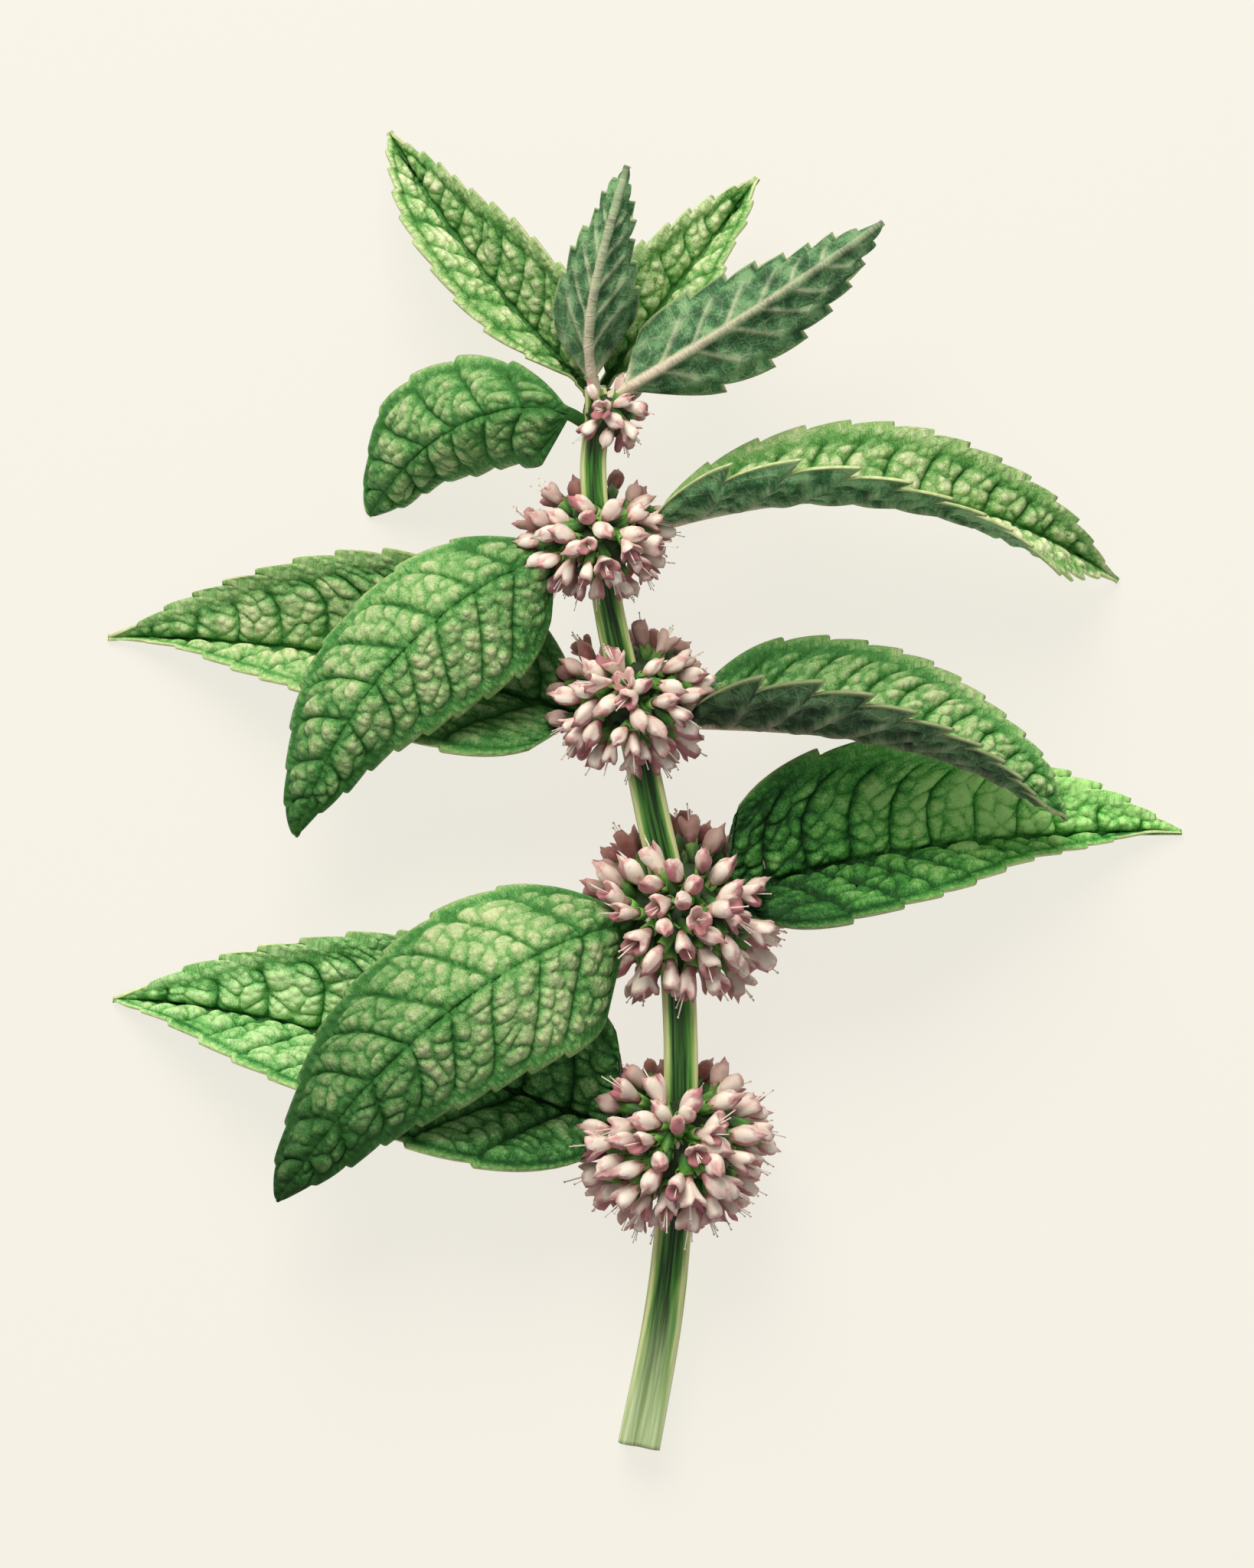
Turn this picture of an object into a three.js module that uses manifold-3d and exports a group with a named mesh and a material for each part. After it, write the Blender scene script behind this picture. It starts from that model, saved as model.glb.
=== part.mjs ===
// A cut, flowering sprig of peppermint, lying on its back on a flat surface.
// Millimetres. +Y runs from the cut end of the stem to the youngest leaves, +Z is up off the
// surface, and the surface is z = 0.
//
// The sprig is a square stem, a ring of flowers (a whorl) round it at each of its joints, and the
// leaves, which grow from the same joints. Each leaf is a thin blade whose midrib follows a curve,
// with its two halves folded up or drooping from that midrib, and forward-pointing teeth.

import * as THREE from 'three';
import { mergeVertices } from 'three/addons/utils/BufferGeometryUtils.js';
import Module from 'manifold-3d';

const wasm = await Module();
wasm.setup();

// ---------------------------------------------------------------- driving dimensions
// where the middle of the sprig's footprint lies in the coordinates used below
const FOOTPRINT_CENTRE = [2.362, -0.861];
const STEM_CLEARANCE = 0.55; // swelling of the stem when a whorl is cut to clear it
const LEAF_CLEARANCE = 0.8; // the same for a leaf, so that its slanting base is cleared too

// leaves
const BLADE_THICK = 0.8;
const STALK_THICK = 1.3;
const STALK_HALF_WIDTH = 0.9;
const TIP_HALF_WIDTH = 0.4;
const TOOTH_RISE = 0.9; // how far a tooth stands out of the margin
const TOOTH_REACH = 0.9; // how far it leans forward, as a share of that rise
const TOOTH_TIP = 0.86; // where along a tooth's pitch its point is
const TOOTH_CURVE = 0.7; // how the tooth's back rises to that point
const VEIN_SLANT = 0.75; // forward run of a side vein per unit of half-width, unless a leaf has its own
const QUILT_RISE = 0.5; // height of the blade's pillows between two side veins
const BLADE_ROWS = [-1, -0.55, 0, 0.55, 1]; // left margin, midrib, right margin
const TOOTH_COLUMNS = [0, 0.5, TOOTH_TIP];
const STALK_COLUMNS = [-1, -0.5];
const BASE_COLUMNS = [0.01, 0.028]; // extra, where the blade widens fast

// stem: a point of its axis, and its width across the flats there
const STEM = [
  { at: [1.6, -87.0, 2.73], width: 5.3 },
  { at: [4.5, -71.6, 4.6], width: 4.9 },
  { at: [5.9, -60.0, 7.8], width: 4.6 },
  { at: [6.8, -47.6, 11.2], width: 4.4 },
  { at: [7.0, -33.0, 13.2], width: 4.2 },
  { at: [5.9, -16.6, 14.6], width: 4.3 },
  { at: [3.1, -3.0, 16.4], width: 4.2 },
  { at: [0.2, 11.0, 18.6], width: 4.0 },
  { at: [-2.2, 21.8, 20.6], width: 3.7 },
  { at: [-3.7, 31.8, 22.6], width: 3.4 },
  { at: [-4.4, 41.0, 24.2], width: 3.2 },
  { at: [-3.8, 47.6, 25.4], width: 3.0 },
  { at: [-4.1, 51.4, 26.2], width: 2.6 },
];
const STEM_STEPS = 20;
// the section's radius at its flats, on the way to a corner, and at a corner, per unit of width
const STEM_SECTION = [0.45, 0.53, 0.64, 0.53];

// whorls: centre, radius across and along the stem, number of florets, lean of the ring
const WHORLS = {
  whorl_1: { at: [-2.6, 48.0, 25.4], across: 5.4, along: 5.4, florets: 16, lean: 20 },
  whorl_2: { at: [-4.2, 32.2, 22.4], across: 10.0, along: 8.0, florets: 36, lean: 28 },
  whorl_3: { at: [0.6, 11.0, 18.4], across: 10.8, along: 9.6, florets: 42, lean: 28 },
  whorl_4: { at: [7.0, -16.8, 12.6], across: 13.6, along: 12.4, florets: 52, lean: 26 },
  whorl_5: { at: [6.2, -47.2, 10.9], across: 13.0, along: 11.8, florets: 47, lean: 22 },
};
const CORE_SHARE = 0.66; // radius of the green core, per radius of the whorl
const FLORET_SIDES = 4; // a mint flower has four lobes
// a floret's outline from its foot to its lips: share of its length, radius in millimetres
const FLORET_BUD = [[0, 0.6], [0.66, 1.5]];
const FLORET_OPEN = [[0, 0.6], [1, 1.8]];
const BUD_END = 1; // where the outline comes back to the axis, per length
const THROAT_END = 0.72;
const FLORET_SCALE = { whorl_1: 0.85, whorl_2: 0.95, whorl_3: 1.0, whorl_4: 1.15, whorl_5: 1.1 };
const OPEN_SHARE = 0.35; // florets whose lips are open
const GOLDEN_ANGLE = Math.PI * (3 - Math.sqrt(5));

const UP = [0, 0, 1];
const DOWN = [0, 0, -1];
const EDGE_ON = [0, 0.95, 0.3];

// leaves, each with the four control points of its midrib (foot, two handles, tip), the direction
// that its upper face looks in at the foot and at the tip, and for its left and right halves (seen
// from above, tip ahead) the half-width, the two exponents of the outline, the fold up from the
// midrib and the further curl out to the margin, in degrees. `stalk` is the bare stalk's share of the
// length, `slant` the forward run of its side veins, `twist` how late the upper face turns from the
// one direction to the other, and `opens` the share of the curl lost as it turns
const LEAVES = {
  leaf_top_left: {
    rib: [[-5.6, 51.9, 20.5], [-11.4, 58.2, 18.5], [-22.9, 70.2, 14], [-31.2, 85.7, 6]],
    faces: [UP, UP], half: [6.8, 10.6], outline: [[0.9, 1.0], [0.3, 1.05]],
    fold: [42, 42], curl: [0, 0], teeth: 10, toothSize: [1, 1], stalk: 0.02,
  },
  leaf_top_centre: {
    rib: [[-4.4, 52, 28.6], [-5.9, 58.7, 33], [-4.4, 64.5, 36], [0, 79.7, 34]],
    faces: [DOWN, DOWN], half: [7.8, 7.6], outline: [[0.25, 1.05], [0.25, 0.92]],
    fold: [40, 50], curl: [0, 0], teeth: 7, toothSize: [1.3, 1.3], stalk: 0.02, slant: 1.3,
  },
  leaf_top_back: {
    rib: [[-2.4, 52.6, 21], [1.6, 59.2, 19], [8.1, 66.4, 14], [17.1, 79.4, 10]],
    faces: [UP, UP], half: [8.5, 7.6], outline: [[0.3, 0.95], [0.3, 1.0]],
    fold: [30, 54], curl: [0, 0], teeth: 7, toothSize: [1.1, 1.1], stalk: 0.02,
  },
  leaf_top_right: {
    rib: [[-0.6, 50.9, 28], [8, 55.9, 32], [18.4, 61.8, 32], [33.1, 72.8, 26]],
    faces: [DOWN, DOWN], half: [7.4, 7.2], outline: [[0.75, 1.05], [0.35, 1.1]],
    fold: [30, 30], curl: [0, 0], teeth: 8, toothSize: [1.4, 1.4], stalk: 0.02, slant: 1.3,
  },
  leaf_top_drooping: {
    rib: [[-6.6, 47.5, 27.6], [-11.8, 50.6, 30.8], [-25.8, 49.2, 22], [-33.9, 35.2, 0.6]],
    faces: [UP, UP], half: [8.4, 10], outline: [[0.2, 0.7], [1.0, 0.9]],
    fold: [-20, -20], curl: [-20, -30], teeth: 7, toothSize: [1.1, 1.1], stalk: 0.02,
  },
  leaf_2_right: {
    rib: [[-0.6, 32.4, 21], [14, 37, 25], [40.7, 43.6, 26], [64.8, 26.7, 0.6]],
    faces: [EDGE_ON, [0.15, 0.1, 1]], half: [9.9, 12], outline: [[0.72, 1.25], [0.62, 1.3]],
    fold: [37, 5], curl: [0, 70], teeth: 14, toothSize: [0.9, 2.9], twist: 1.9, opens: 0.9,
  },
  leaf_2_left: {
    rib: [[-6.8, 30.6, 21.6], [-18.7, 28.1, 33], [-36, 16.2, 30], [-43.1, -7, 18]],
    faces: [UP, UP], half: [12.7, 11.5], outline: [[0.45, 1.15], [0.68, 0.8]],
    fold: [-10, -30], curl: [-20, -25], teeth: 9, toothSize: [1, 1],
  },
  leaf_3_left: {
    rib: [[-2.2, 8, 16], [-17.9, 11.9, 11], [-34.1, 19, 7], [-68.5, 19.4, 0.6]],
    faces: [[0, 0.14, 0.99], [0, 0.37, 0.93]], half: [14, 16], outline: [[0.45, 1.45], [0.6, 1.2]],
    fold: [38, 38], curl: [0, 0], teeth: 11, toothSize: [1, 1],
  },
  leaf_3_right: {
    rib: [[4.9, 8.4, 17], [18, 7.4, 22], [42.8, 8.8, 24], [57.7, -4.6, 12]],
    faces: [EDGE_ON, [0.2, 0.6, 0.7]], half: [13.9, 13.5], outline: [[0.5, 1.05], [0.62, 1.15]],
    fold: [37, 5], curl: [0, 70], teeth: 13, toothSize: [0.9, 2.9], twist: 2.6, opens: 0.8,
  },
  leaf_4_right: {
    rib: [[9.6, -16.0, 13], [25.8, -9.4, 11], [48.4, -6.1, 6], [73.2, -6.3, 0.6]],
    faces: [[0, 0.24, 0.97], [0, 0.5, 0.87]], half: [15.3, 12.7], outline: [[0.38, 1.02], [0.5, 1.65]],
    fold: [36, 36], curl: [0, 0], teeth: 11, toothSize: [1.2, 1.2],
  },
  leaf_4_left: {
    rib: [[2.6, -18.1, 14.4], [-8.6, -17.6, 30], [-30.1, -30.3, 31], [-45.6, -54.5, 19]],
    faces: [UP, UP], half: [14, 14.4], outline: [[0.26, 0.9], [0.65, 0.88]],
    fold: [-10, -30], curl: [-20, -20], teeth: 9, toothSize: [1, 1],
  },
  leaf_5_left: {
    rib: [[3.2, -46.9, 10], [-14, -40.8, 8], [-42.2, -29.3, 5], [-67.8, -28.3, 0.6]],
    faces: [[0, 0.14, 0.99], [0, 0.37, 0.93]], half: [16.4, 19.2], outline: [[0.5, 1.0], [0.4, 1.12]],
    fold: [38, 38], curl: [0, 0], teeth: 10, toothSize: [1, 1],
  },
};
const STALK_SHARE = 0.06; // bare stalk, per length of the midrib, where a leaf has no share of its own

// ---------------------------------------------------------------- solids
function toSolid(geometry) {
  const bare = geometry.clone();
  bare.deleteAttribute('normal');
  bare.deleteAttribute('uv');
  const merged = mergeVertices(bare, 1e-5);
  return new wasm.Manifold(new wasm.Mesh({
    numProp: 3,
    vertProperties: Float32Array.from(merged.attributes.position.array),
    triVerts: Uint32Array.from(merged.index.array),
  }));
}

function toGeometry(solid) {
  const mesh = solid.getMesh();
  const geometry = new THREE.BufferGeometry();
  geometry.setAttribute('position', new THREE.BufferAttribute(mesh.vertProperties, 3));
  geometry.setIndex(new THREE.BufferAttribute(mesh.triVerts, 1));
  return geometry;
}

// the largest single body of a solid, without the crumbs that a cut leaves
function largestBody(solid) {
  const bodies = solid.decompose();
  return bodies.reduce((best, body) => (body.volume() > best.volume() ? body : best));
}

// a closed skin over rings of points: `rings` all have the same number of points, running
// anticlockwise when the rings are seen coming towards the eye
function skin(rings) {
  const perRing = rings[0].length;
  const points = rings.flat();
  const faces = [];
  for (let ring = 0; ring + 1 < rings.length; ring++) {
    for (let k = 0; k < perRing; k++) {
      const next = (k + 1) % perRing;
      const a = ring * perRing + k;
      const b = ring * perRing + next;
      const c = a + perRing;
      const d = b + perRing;
      faces.push(a, b, d, a, d, c);
    }
  }
  const last = (rings.length - 1) * perRing;
  for (let k = 1; k + 1 < perRing; k++) {
    faces.push(0, k + 1, k);
    faces.push(last, last + k, last + k + 1);
  }
  const geometry = new THREE.BufferGeometry().setFromPoints(points);
  geometry.setIndex(faces);
  return geometry;
}

// ---------------------------------------------------------------- stem
const stemPath = new THREE.CatmullRomCurve3(STEM.map(({ at }) => new THREE.Vector3(...at)));

// the stem's width at the height y of its axis
function stemWidth(y) {
  const next = Math.max(1, STEM.findIndex(({ at }) => at[1] >= y));
  const from = STEM[next - 1];
  const to = STEM[next];
  const share = THREE.MathUtils.clamp((y - from.at[1]) / (to.at[1] - from.at[1]), 0, 1);
  return THREE.MathUtils.lerp(from.width, to.width, share);
}

// a square stem with grooved sides and rounded corners, swollen by `extra` all round
function stemGeometry(extra = 0) {
  const rings = [];
  for (let step = 0; step <= STEM_STEPS; step++) {
    const centre = stemPath.getPoint(step / STEM_STEPS);
    const along = stemPath.getTangent(step / STEM_STEPS);
    const right = new THREE.Vector3().crossVectors(along, new THREE.Vector3(0, 0, 1)).normalize();
    const up = new THREE.Vector3().crossVectors(right, along);
    const width = stemWidth(centre.y);
    if (step === 0) centre.addScaledVector(along, -extra);
    if (step === STEM_STEPS) centre.addScaledVector(along, extra);
    const ring = [];
    for (let k = 0; k < 16; k++) {
      const angle = (k * Math.PI) / 8;
      const radius = STEM_SECTION[k % 4] * width + extra;
      ring.push(centre.clone()
        .addScaledVector(right, radius * Math.sin(angle))
        .addScaledVector(up, radius * Math.cos(angle)));
    }
    rings.push(ring);
  }
  return skin(rings);
}

// ---------------------------------------------------------------- leaves
function outlineShare(u, [rise, fall]) {
  const peak = rise / (rise + fall);
  const value = u ** rise * (1 - u) ** fall;
  return value / (peak ** rise * (1 - peak) ** fall);
}

// how far a tooth has risen at share u of the blade: slowly to its point, then quickly back
function toothShare(u, teeth) {
  const phase = (u * teeth) % 1;
  return phase < TOOTH_TIP ? (phase / TOOTH_TIP) ** TOOTH_CURVE : (1 - phase) / (1 - TOOTH_TIP);
}

// a point of the leaf's middle surface; u is -1 at the stalk's foot, 0 where the blade begins and
// 1 at its tip, and s is -1 at the left margin, 0 on the midrib and 1 at the right margin
function leafPoint(leaf, u, s, extra) {
  const side = s < 0 ? 0 : 1;
  const out = Math.abs(s);
  const stalkShare = leaf.stalk ?? STALK_SHARE;
  const bladeLength = leaf.curve.getLength() * (1 - stalkShare);
  const halfWidth = (share) => leaf.half[side] * outlineShare(share, leaf.outline[side]);
  let along = stalkShare * (1 + u);
  let lateral = out * STALK_HALF_WIDTH;
  let quilt = 0;
  let rise = 0;
  if (u >= 0) {
    const size = leaf.toothSize[side] * Math.min(1, (2.2 * halfWidth(u)) / leaf.half[side]);
    rise = TOOTH_RISE * size * toothShare(u, leaf.teeth) * out ** 4;
    const slant = leaf.slant ?? VEIN_SLANT;
    const forward = (slant * out * halfWidth(u) + TOOTH_REACH * rise) / bladeLength;
    const share = u + forward / Math.hypot(1, forward / Math.max(1 - u, 1e-6));
    const least = THREE.MathUtils.lerp(STALK_HALF_WIDTH, TIP_HALF_WIDTH, share);
    along = stalkShare + (1 - stalkShare) * share;
    lateral = out * Math.max(halfWidth(share), least);
    quilt = QUILT_RISE * Math.sin(Math.PI * ((u * leaf.teeth) % 1)) * Math.sin(Math.PI * out);
  }
  lateral += out * extra;
  const centre = leaf.curve.getPointAt(Math.min(along, 1));
  const forwards = leaf.curve.getTangentAt(Math.min(along, 1));
  if (u === -1) centre.addScaledVector(forwards, -extra);
  const turn = along ** (leaf.twist ?? 1);
  const face = leaf.foot.clone().lerp(leaf.end, turn);
  const normal = face.addScaledVector(forwards, -face.dot(forwards)).normalize();
  const right = new THREE.Vector3().crossVectors(forwards, normal);
  const fold = THREE.MathUtils.degToRad(leaf.fold[side]);
  const curl = THREE.MathUtils.degToRad(leaf.curl[side] * (1 - (leaf.opens ?? 0) * turn)) || 1e-6;
  const bend = Math.max(out, 1e-6) * curl;
  const across = (Math.sin(fold + bend) - Math.sin(fold)) / bend;
  const lift = (Math.cos(fold) - Math.cos(fold + bend)) / bend;
  return centre
    .addScaledVector(right, (side ? 1 : -1) * (lateral * across + rise * Math.cos(fold + bend)))
    .addScaledVector(normal, lateral * lift + rise * Math.sin(fold + bend) + quilt);
}

// the blade as two faces, alike in their triangles, with a wall round the margin; `extra` swells it
function leafGeometry(leaf, extra = 0) {
  const columns = [...STALK_COLUMNS];
  for (let tooth = 0; tooth < leaf.teeth; tooth++) {
    for (const phase of TOOTH_COLUMNS) columns.push((tooth + phase) / leaf.teeth);
    if (tooth === 0) columns.splice(STALK_COLUMNS.length + 1, 0, ...BASE_COLUMNS);
  }
  columns.push(1);
  const middle = columns.map((u) => BLADE_ROWS.map((s) => leafPoint(leaf, u, s, extra)));
  const lastColumn = columns.length - 1;
  const lastRow = BLADE_ROWS.length - 1;
  const rings = middle.map((column, c) => {
    const thick = (columns[c] < 0 ? STALK_THICK : BLADE_THICK) / 2 + extra;
    const before = middle[Math.max(c - 1, 0)];
    const after = middle[Math.min(c + 1, lastColumn)];
    const normals = column.map((point, r) => {
      const along = after[r].clone().sub(before[r]);
      const across = column[Math.min(r + 1, lastRow)].clone().sub(column[Math.max(r - 1, 0)]);
      return across.cross(along).normalize();
    });
    const upper = column.map((point, r) => point.clone().addScaledVector(normals[r], thick));
    const lower = column.map((point, r) => point.clone().addScaledVector(normals[r], -thick));
    return [upper, lower];
  });
  return bladeSkin(rings);
}

function bladeSkin(columns) {
  const rows = BLADE_ROWS.length;
  const points = columns.flatMap(([upper, lower]) => [...upper, ...lower]);
  const upper = (c, r) => c * 2 * rows + r;
  const lower = (c, r) => upper(c, r) + rows;
  const faces = [];
  const last = columns.length - 1;
  for (let c = 0; c < last; c++) {
    for (let r = 0; r + 1 < rows; r++) {
      const top = [upper(c, r), upper(c, r + 1), upper(c + 1, r + 1), upper(c + 1, r)];
      const under = top.map((index) => index + rows);
      faces.push(top[0], top[1], top[2], top[0], top[2], top[3]);
      faces.push(under[0], under[2], under[1], under[0], under[3], under[2]);
    }
    for (const [r, turn] of [[0, false], [rows - 1, true]]) {
      const wall = [upper(c, r), upper(c + 1, r), lower(c + 1, r), lower(c, r)];
      if (turn) wall.reverse();
      faces.push(wall[0], wall[1], wall[2], wall[0], wall[2], wall[3]);
    }
  }
  for (let r = 0; r + 1 < rows; r++) {
    faces.push(upper(0, r), lower(0, r), lower(0, r + 1), upper(0, r), lower(0, r + 1), upper(0, r + 1));
    const tip = [upper(last, r), upper(last, r + 1), lower(last, r + 1), lower(last, r)];
    faces.push(tip[0], tip[1], tip[2], tip[0], tip[2], tip[3]);
  }
  const geometry = new THREE.BufferGeometry().setFromPoints(points);
  geometry.setIndex(faces);
  return geometry;
}

for (const leaf of Object.values(LEAVES)) {
  leaf.curve = new THREE.CubicBezierCurve3(...leaf.rib.map((point) => new THREE.Vector3(...point)));
  leaf.foot = new THREE.Vector3(...leaf.faces[0]);
  leaf.end = new THREE.Vector3(...leaf.faces[1]);
}

// ---------------------------------------------------------------- whorls
// a repeatable draw between 0 and 1
function seededDraw(seed) {
  let state = seed;
  return () => {
    state = (state * 1664525 + 1013904223) % 4294967296;
    return state / 4294967296;
  };
}

// one floret: a closed spindle of few sides from its foot to its lips, standing on the core
function floret(foot, tip, open, scale) {
  const length = foot.distanceTo(tip);
  const profile = open ? FLORET_OPEN : FLORET_BUD;
  const outline = profile.map(([share, radius]) => new THREE.Vector2(radius * scale, share * length));
  outline.unshift(new THREE.Vector2(0, 0));
  outline.push(new THREE.Vector2(0, (open ? THROAT_END : BUD_END) * length));
  const geometry = new THREE.LatheGeometry(outline, FLORET_SIDES);
  const direction = tip.clone().sub(foot).normalize();
  const turn = new THREE.Quaternion().setFromUnitVectors(new THREE.Vector3(0, 1, 0), direction);
  geometry.applyQuaternion(turn);
  geometry.translate(...foot.toArray());
  return toSolid(geometry);
}

// a ring of florets round the stem: a green core with the florets standing out of it all round,
// except where the stem passes; the ring leans so that the stem's upper side stays in view
function whorlSolid(name, whorl, seed) {
  const draw = seededDraw(seed);
  const centre = new THREE.Vector3(...whorl.at);
  const lean = new THREE.Quaternion().setFromAxisAngle(
    new THREE.Vector3(1, 0, 0), THREE.MathUtils.degToRad(whorl.lean));
  const size = new THREE.Vector3(whorl.across, whorl.along, whorl.across);
  const core = new THREE.IcosahedronGeometry(1, 1);
  core.scale(size.x * CORE_SHARE, size.y * CORE_SHARE, size.z * CORE_SHARE);
  core.applyQuaternion(lean);
  core.translate(...whorl.at);
  const bodies = [toSolid(core)];
  const scale = FLORET_SCALE[name];
  for (let k = 0; k < whorl.florets; k++) {
    const axial = 0.93 * (1 - (2 * (k + 0.5)) / whorl.florets);
    const angle = k * GOLDEN_ANGLE + 0.3 * (draw() - 0.5);
    const ring = Math.sqrt(1 - axial * axial);
    const direction = new THREE.Vector3(ring * Math.cos(angle), axial, ring * Math.sin(angle));
    const reach = 0.93 + 0.12 * draw();
    const open = draw() < OPEN_SHARE;
    const tip = direction.clone().multiply(size).multiplyScalar(reach).applyQuaternion(lean);
    const foot = direction.clone().multiply(size).multiplyScalar(CORE_SHARE * 0.72);
    foot.applyQuaternion(lean);
    if (ring < 0.42) continue;
    bodies.push(floret(foot.add(centre), tip.add(centre), open, scale));
  }
  return wasm.Manifold.union(bodies);
}

// what lies below the surface, taken off every whorl so that its lowest florets rest flat
function belowSurface() {
  const block = new THREE.BoxGeometry(400, 400, 40);
  block.translate(0, 0, -20);
  return toSolid(block);
}

// ---------------------------------------------------------------- assembly
const COLOURS = { stem: 0x5d7a3d, leaf: 0x44703a, whorl: 0xd9b3ae };
const finish = (colour) => new THREE.MeshStandardMaterial({ color: colour, roughness: 0.6, metalness: 0 });

const sprig = new THREE.Group();
const placed = new THREE.Group();
placed.position.set(-FOOTPRINT_CENTRE[0], -FOOTPRINT_CENTRE[1], 0);
sprig.add(placed);

function add(name, geometry, colour) {
  const mesh = new THREE.Mesh(geometry, finish(colour));
  mesh.name = name;
  placed.add(mesh);
}

add('stem', stemGeometry(), COLOURS.stem);
for (const [name, leaf] of Object.entries(LEAVES)) {
  add(name, leafGeometry(leaf), COLOURS.leaf);
}

const room = wasm.Manifold.union([
  toSolid(stemGeometry(STEM_CLEARANCE)),
  ...Object.values(LEAVES).map((leaf) => toSolid(leafGeometry(leaf, LEAF_CLEARANCE))),
  belowSurface(),
]);
Object.entries(WHORLS).forEach(([name, whorl], index) => {
  const solid = whorlSolid(name, whorl, index + 1).subtract(room);
  add(name, toGeometry(largestBody(solid)), COLOURS.whorl);
});

export default sprig;
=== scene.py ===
import math
import random

import bmesh
import bpy
import numpy as np
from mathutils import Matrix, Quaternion, Vector
from mathutils.bvhtree import BVHTree


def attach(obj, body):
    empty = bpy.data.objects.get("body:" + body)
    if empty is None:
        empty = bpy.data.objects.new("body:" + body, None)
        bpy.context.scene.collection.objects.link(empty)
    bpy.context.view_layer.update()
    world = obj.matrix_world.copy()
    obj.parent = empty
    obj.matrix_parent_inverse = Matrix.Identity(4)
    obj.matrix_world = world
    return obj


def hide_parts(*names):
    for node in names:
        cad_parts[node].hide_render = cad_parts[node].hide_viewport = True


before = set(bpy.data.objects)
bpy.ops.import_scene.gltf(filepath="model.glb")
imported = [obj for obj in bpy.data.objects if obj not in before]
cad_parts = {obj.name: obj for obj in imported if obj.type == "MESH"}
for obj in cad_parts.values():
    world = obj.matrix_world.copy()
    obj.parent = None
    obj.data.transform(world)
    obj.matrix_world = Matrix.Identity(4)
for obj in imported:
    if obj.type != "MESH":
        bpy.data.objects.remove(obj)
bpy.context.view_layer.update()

# A cut, flowering sprig of peppermint, lying on a pale floor. Sizes below are millimetres on the
# sprig's own table, whose origin is off the middle of its footprint: +Y to the young leaves, +Z up.
FOOTPRINT_CENTRE = Vector((2.362, -0.861, 0.0))
MM = 0.001


def to_frame(point):
    """A point of the table, in millimetres, as a point of the frame, in metres."""
    return (Vector(point) - FOOTPRINT_CENTRE) * MM


# ------------------------------------------------------------------ camera
CAMERA_HEIGHT = 1500.0
FOCUS_HEIGHT = 15.0  # the sprig's mid-height, where the view is VIEW_LENGTH tall
VIEW_LENGTH = 204.8
SENSOR = 36.0
CLIP_RANGE = (0.1, 10.0)  # metres


def make_camera():
    """Straight above the sprig, far enough away for a nearly flat view."""
    data = bpy.data.cameras.new("camera")
    data.sensor_width = SENSOR
    data.lens = SENSOR * (CAMERA_HEIGHT - FOCUS_HEIGHT) / VIEW_LENGTH
    data.clip_start, data.clip_end = CLIP_RANGE
    camera = bpy.data.objects.new("camera", data)
    camera.location = to_frame((0, 0, CAMERA_HEIGHT))
    bpy.context.collection.objects.link(camera)
    bpy.context.scene.camera = camera


make_camera()


# ------------------------------------------------------------------ materials
def colour(hex_code):
    """An sRGB hex value as linear colour."""
    parts = [int(hex_code[i:i + 2], 16) / 255 for i in (1, 3, 5)]
    return (*[c / 12.92 if c <= 0.04045 else ((c + 0.055) / 1.055) ** 2.4 for c in parts], 1.0)


# settings of the nodes that reckon: TIMES_PLUS is the first times the second, plus the third
TIMES, PLUS, MINUS, POWER, TIMES_PLUS, SCALED = (
    {"operation": kind} for kind in ("MULTIPLY", "ADD", "SUBTRACT", "POWER", "MULTIPLY_ADD", "SCALE"))
PAINT = {"data_type": "RGBA"}
FLAT = {"noise_dimensions": "2D"}
SOFT = {"interpolation_type": "SMOOTHSTEP"}


class Finish:
    """One material: its shader, and a short way to add and join nodes."""

    def __init__(self, name, **inputs):
        self.material = bpy.data.materials.new(name)
        self.material.use_nodes = True
        self.tree = self.material.node_tree
        self.shader = self.tree.nodes["Principled BSDF"]
        self.shade(**inputs)

    def feed(self, socket, value):
        """Gives an input a number, a hex colour, another socket or a node's first open output."""
        if isinstance(value, bpy.types.Node):
            value = next(output for output in value.outputs if output.enabled)
        if isinstance(value, bpy.types.NodeSocket):
            self.tree.links.new(value, socket)
        else:
            socket.default_value = colour(value) if isinstance(value, str) else value

    def shade(self, **inputs):
        """Feeds the shader's own inputs, named with _ for a space."""
        for key, value in inputs.items():
            self.feed(self.shader.inputs[key.replace("_", " ")], value)

    def node(self, kind, *inputs, stops=(), **named):
        """Adds a node. `inputs` go to its open inputs in order. What is named with a capital is an
        input too, and the rest are settings. `stops` are the places and colours of a ramp."""
        made = self.tree.nodes.new("ShaderNode" + kind)
        for key, value in named.items():
            if key[0].isupper():
                self.feed(made.inputs[key.replace("_", " ")], value)
            else:
                setattr(made, key, value)
        for socket, value in zip([socket for socket in made.inputs if socket.enabled], inputs):
            self.feed(socket, value)
        if stops:
            band = made.color_ramp.elements
            while len(band) < len(stops):
                band.new(0.5)
            for element, (place, hex_code) in zip(band, stops):
                element.position, element.color = place, colour(hex_code)
        return made


def channels(made, name):
    """The red, green, blue and alpha of a mesh's own colour attribute."""
    source = made.node("Attribute", attribute_name=name)
    parts = made.node("SeparateColor", source)
    return [*parts.outputs, source.outputs["Alpha"]]


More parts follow.
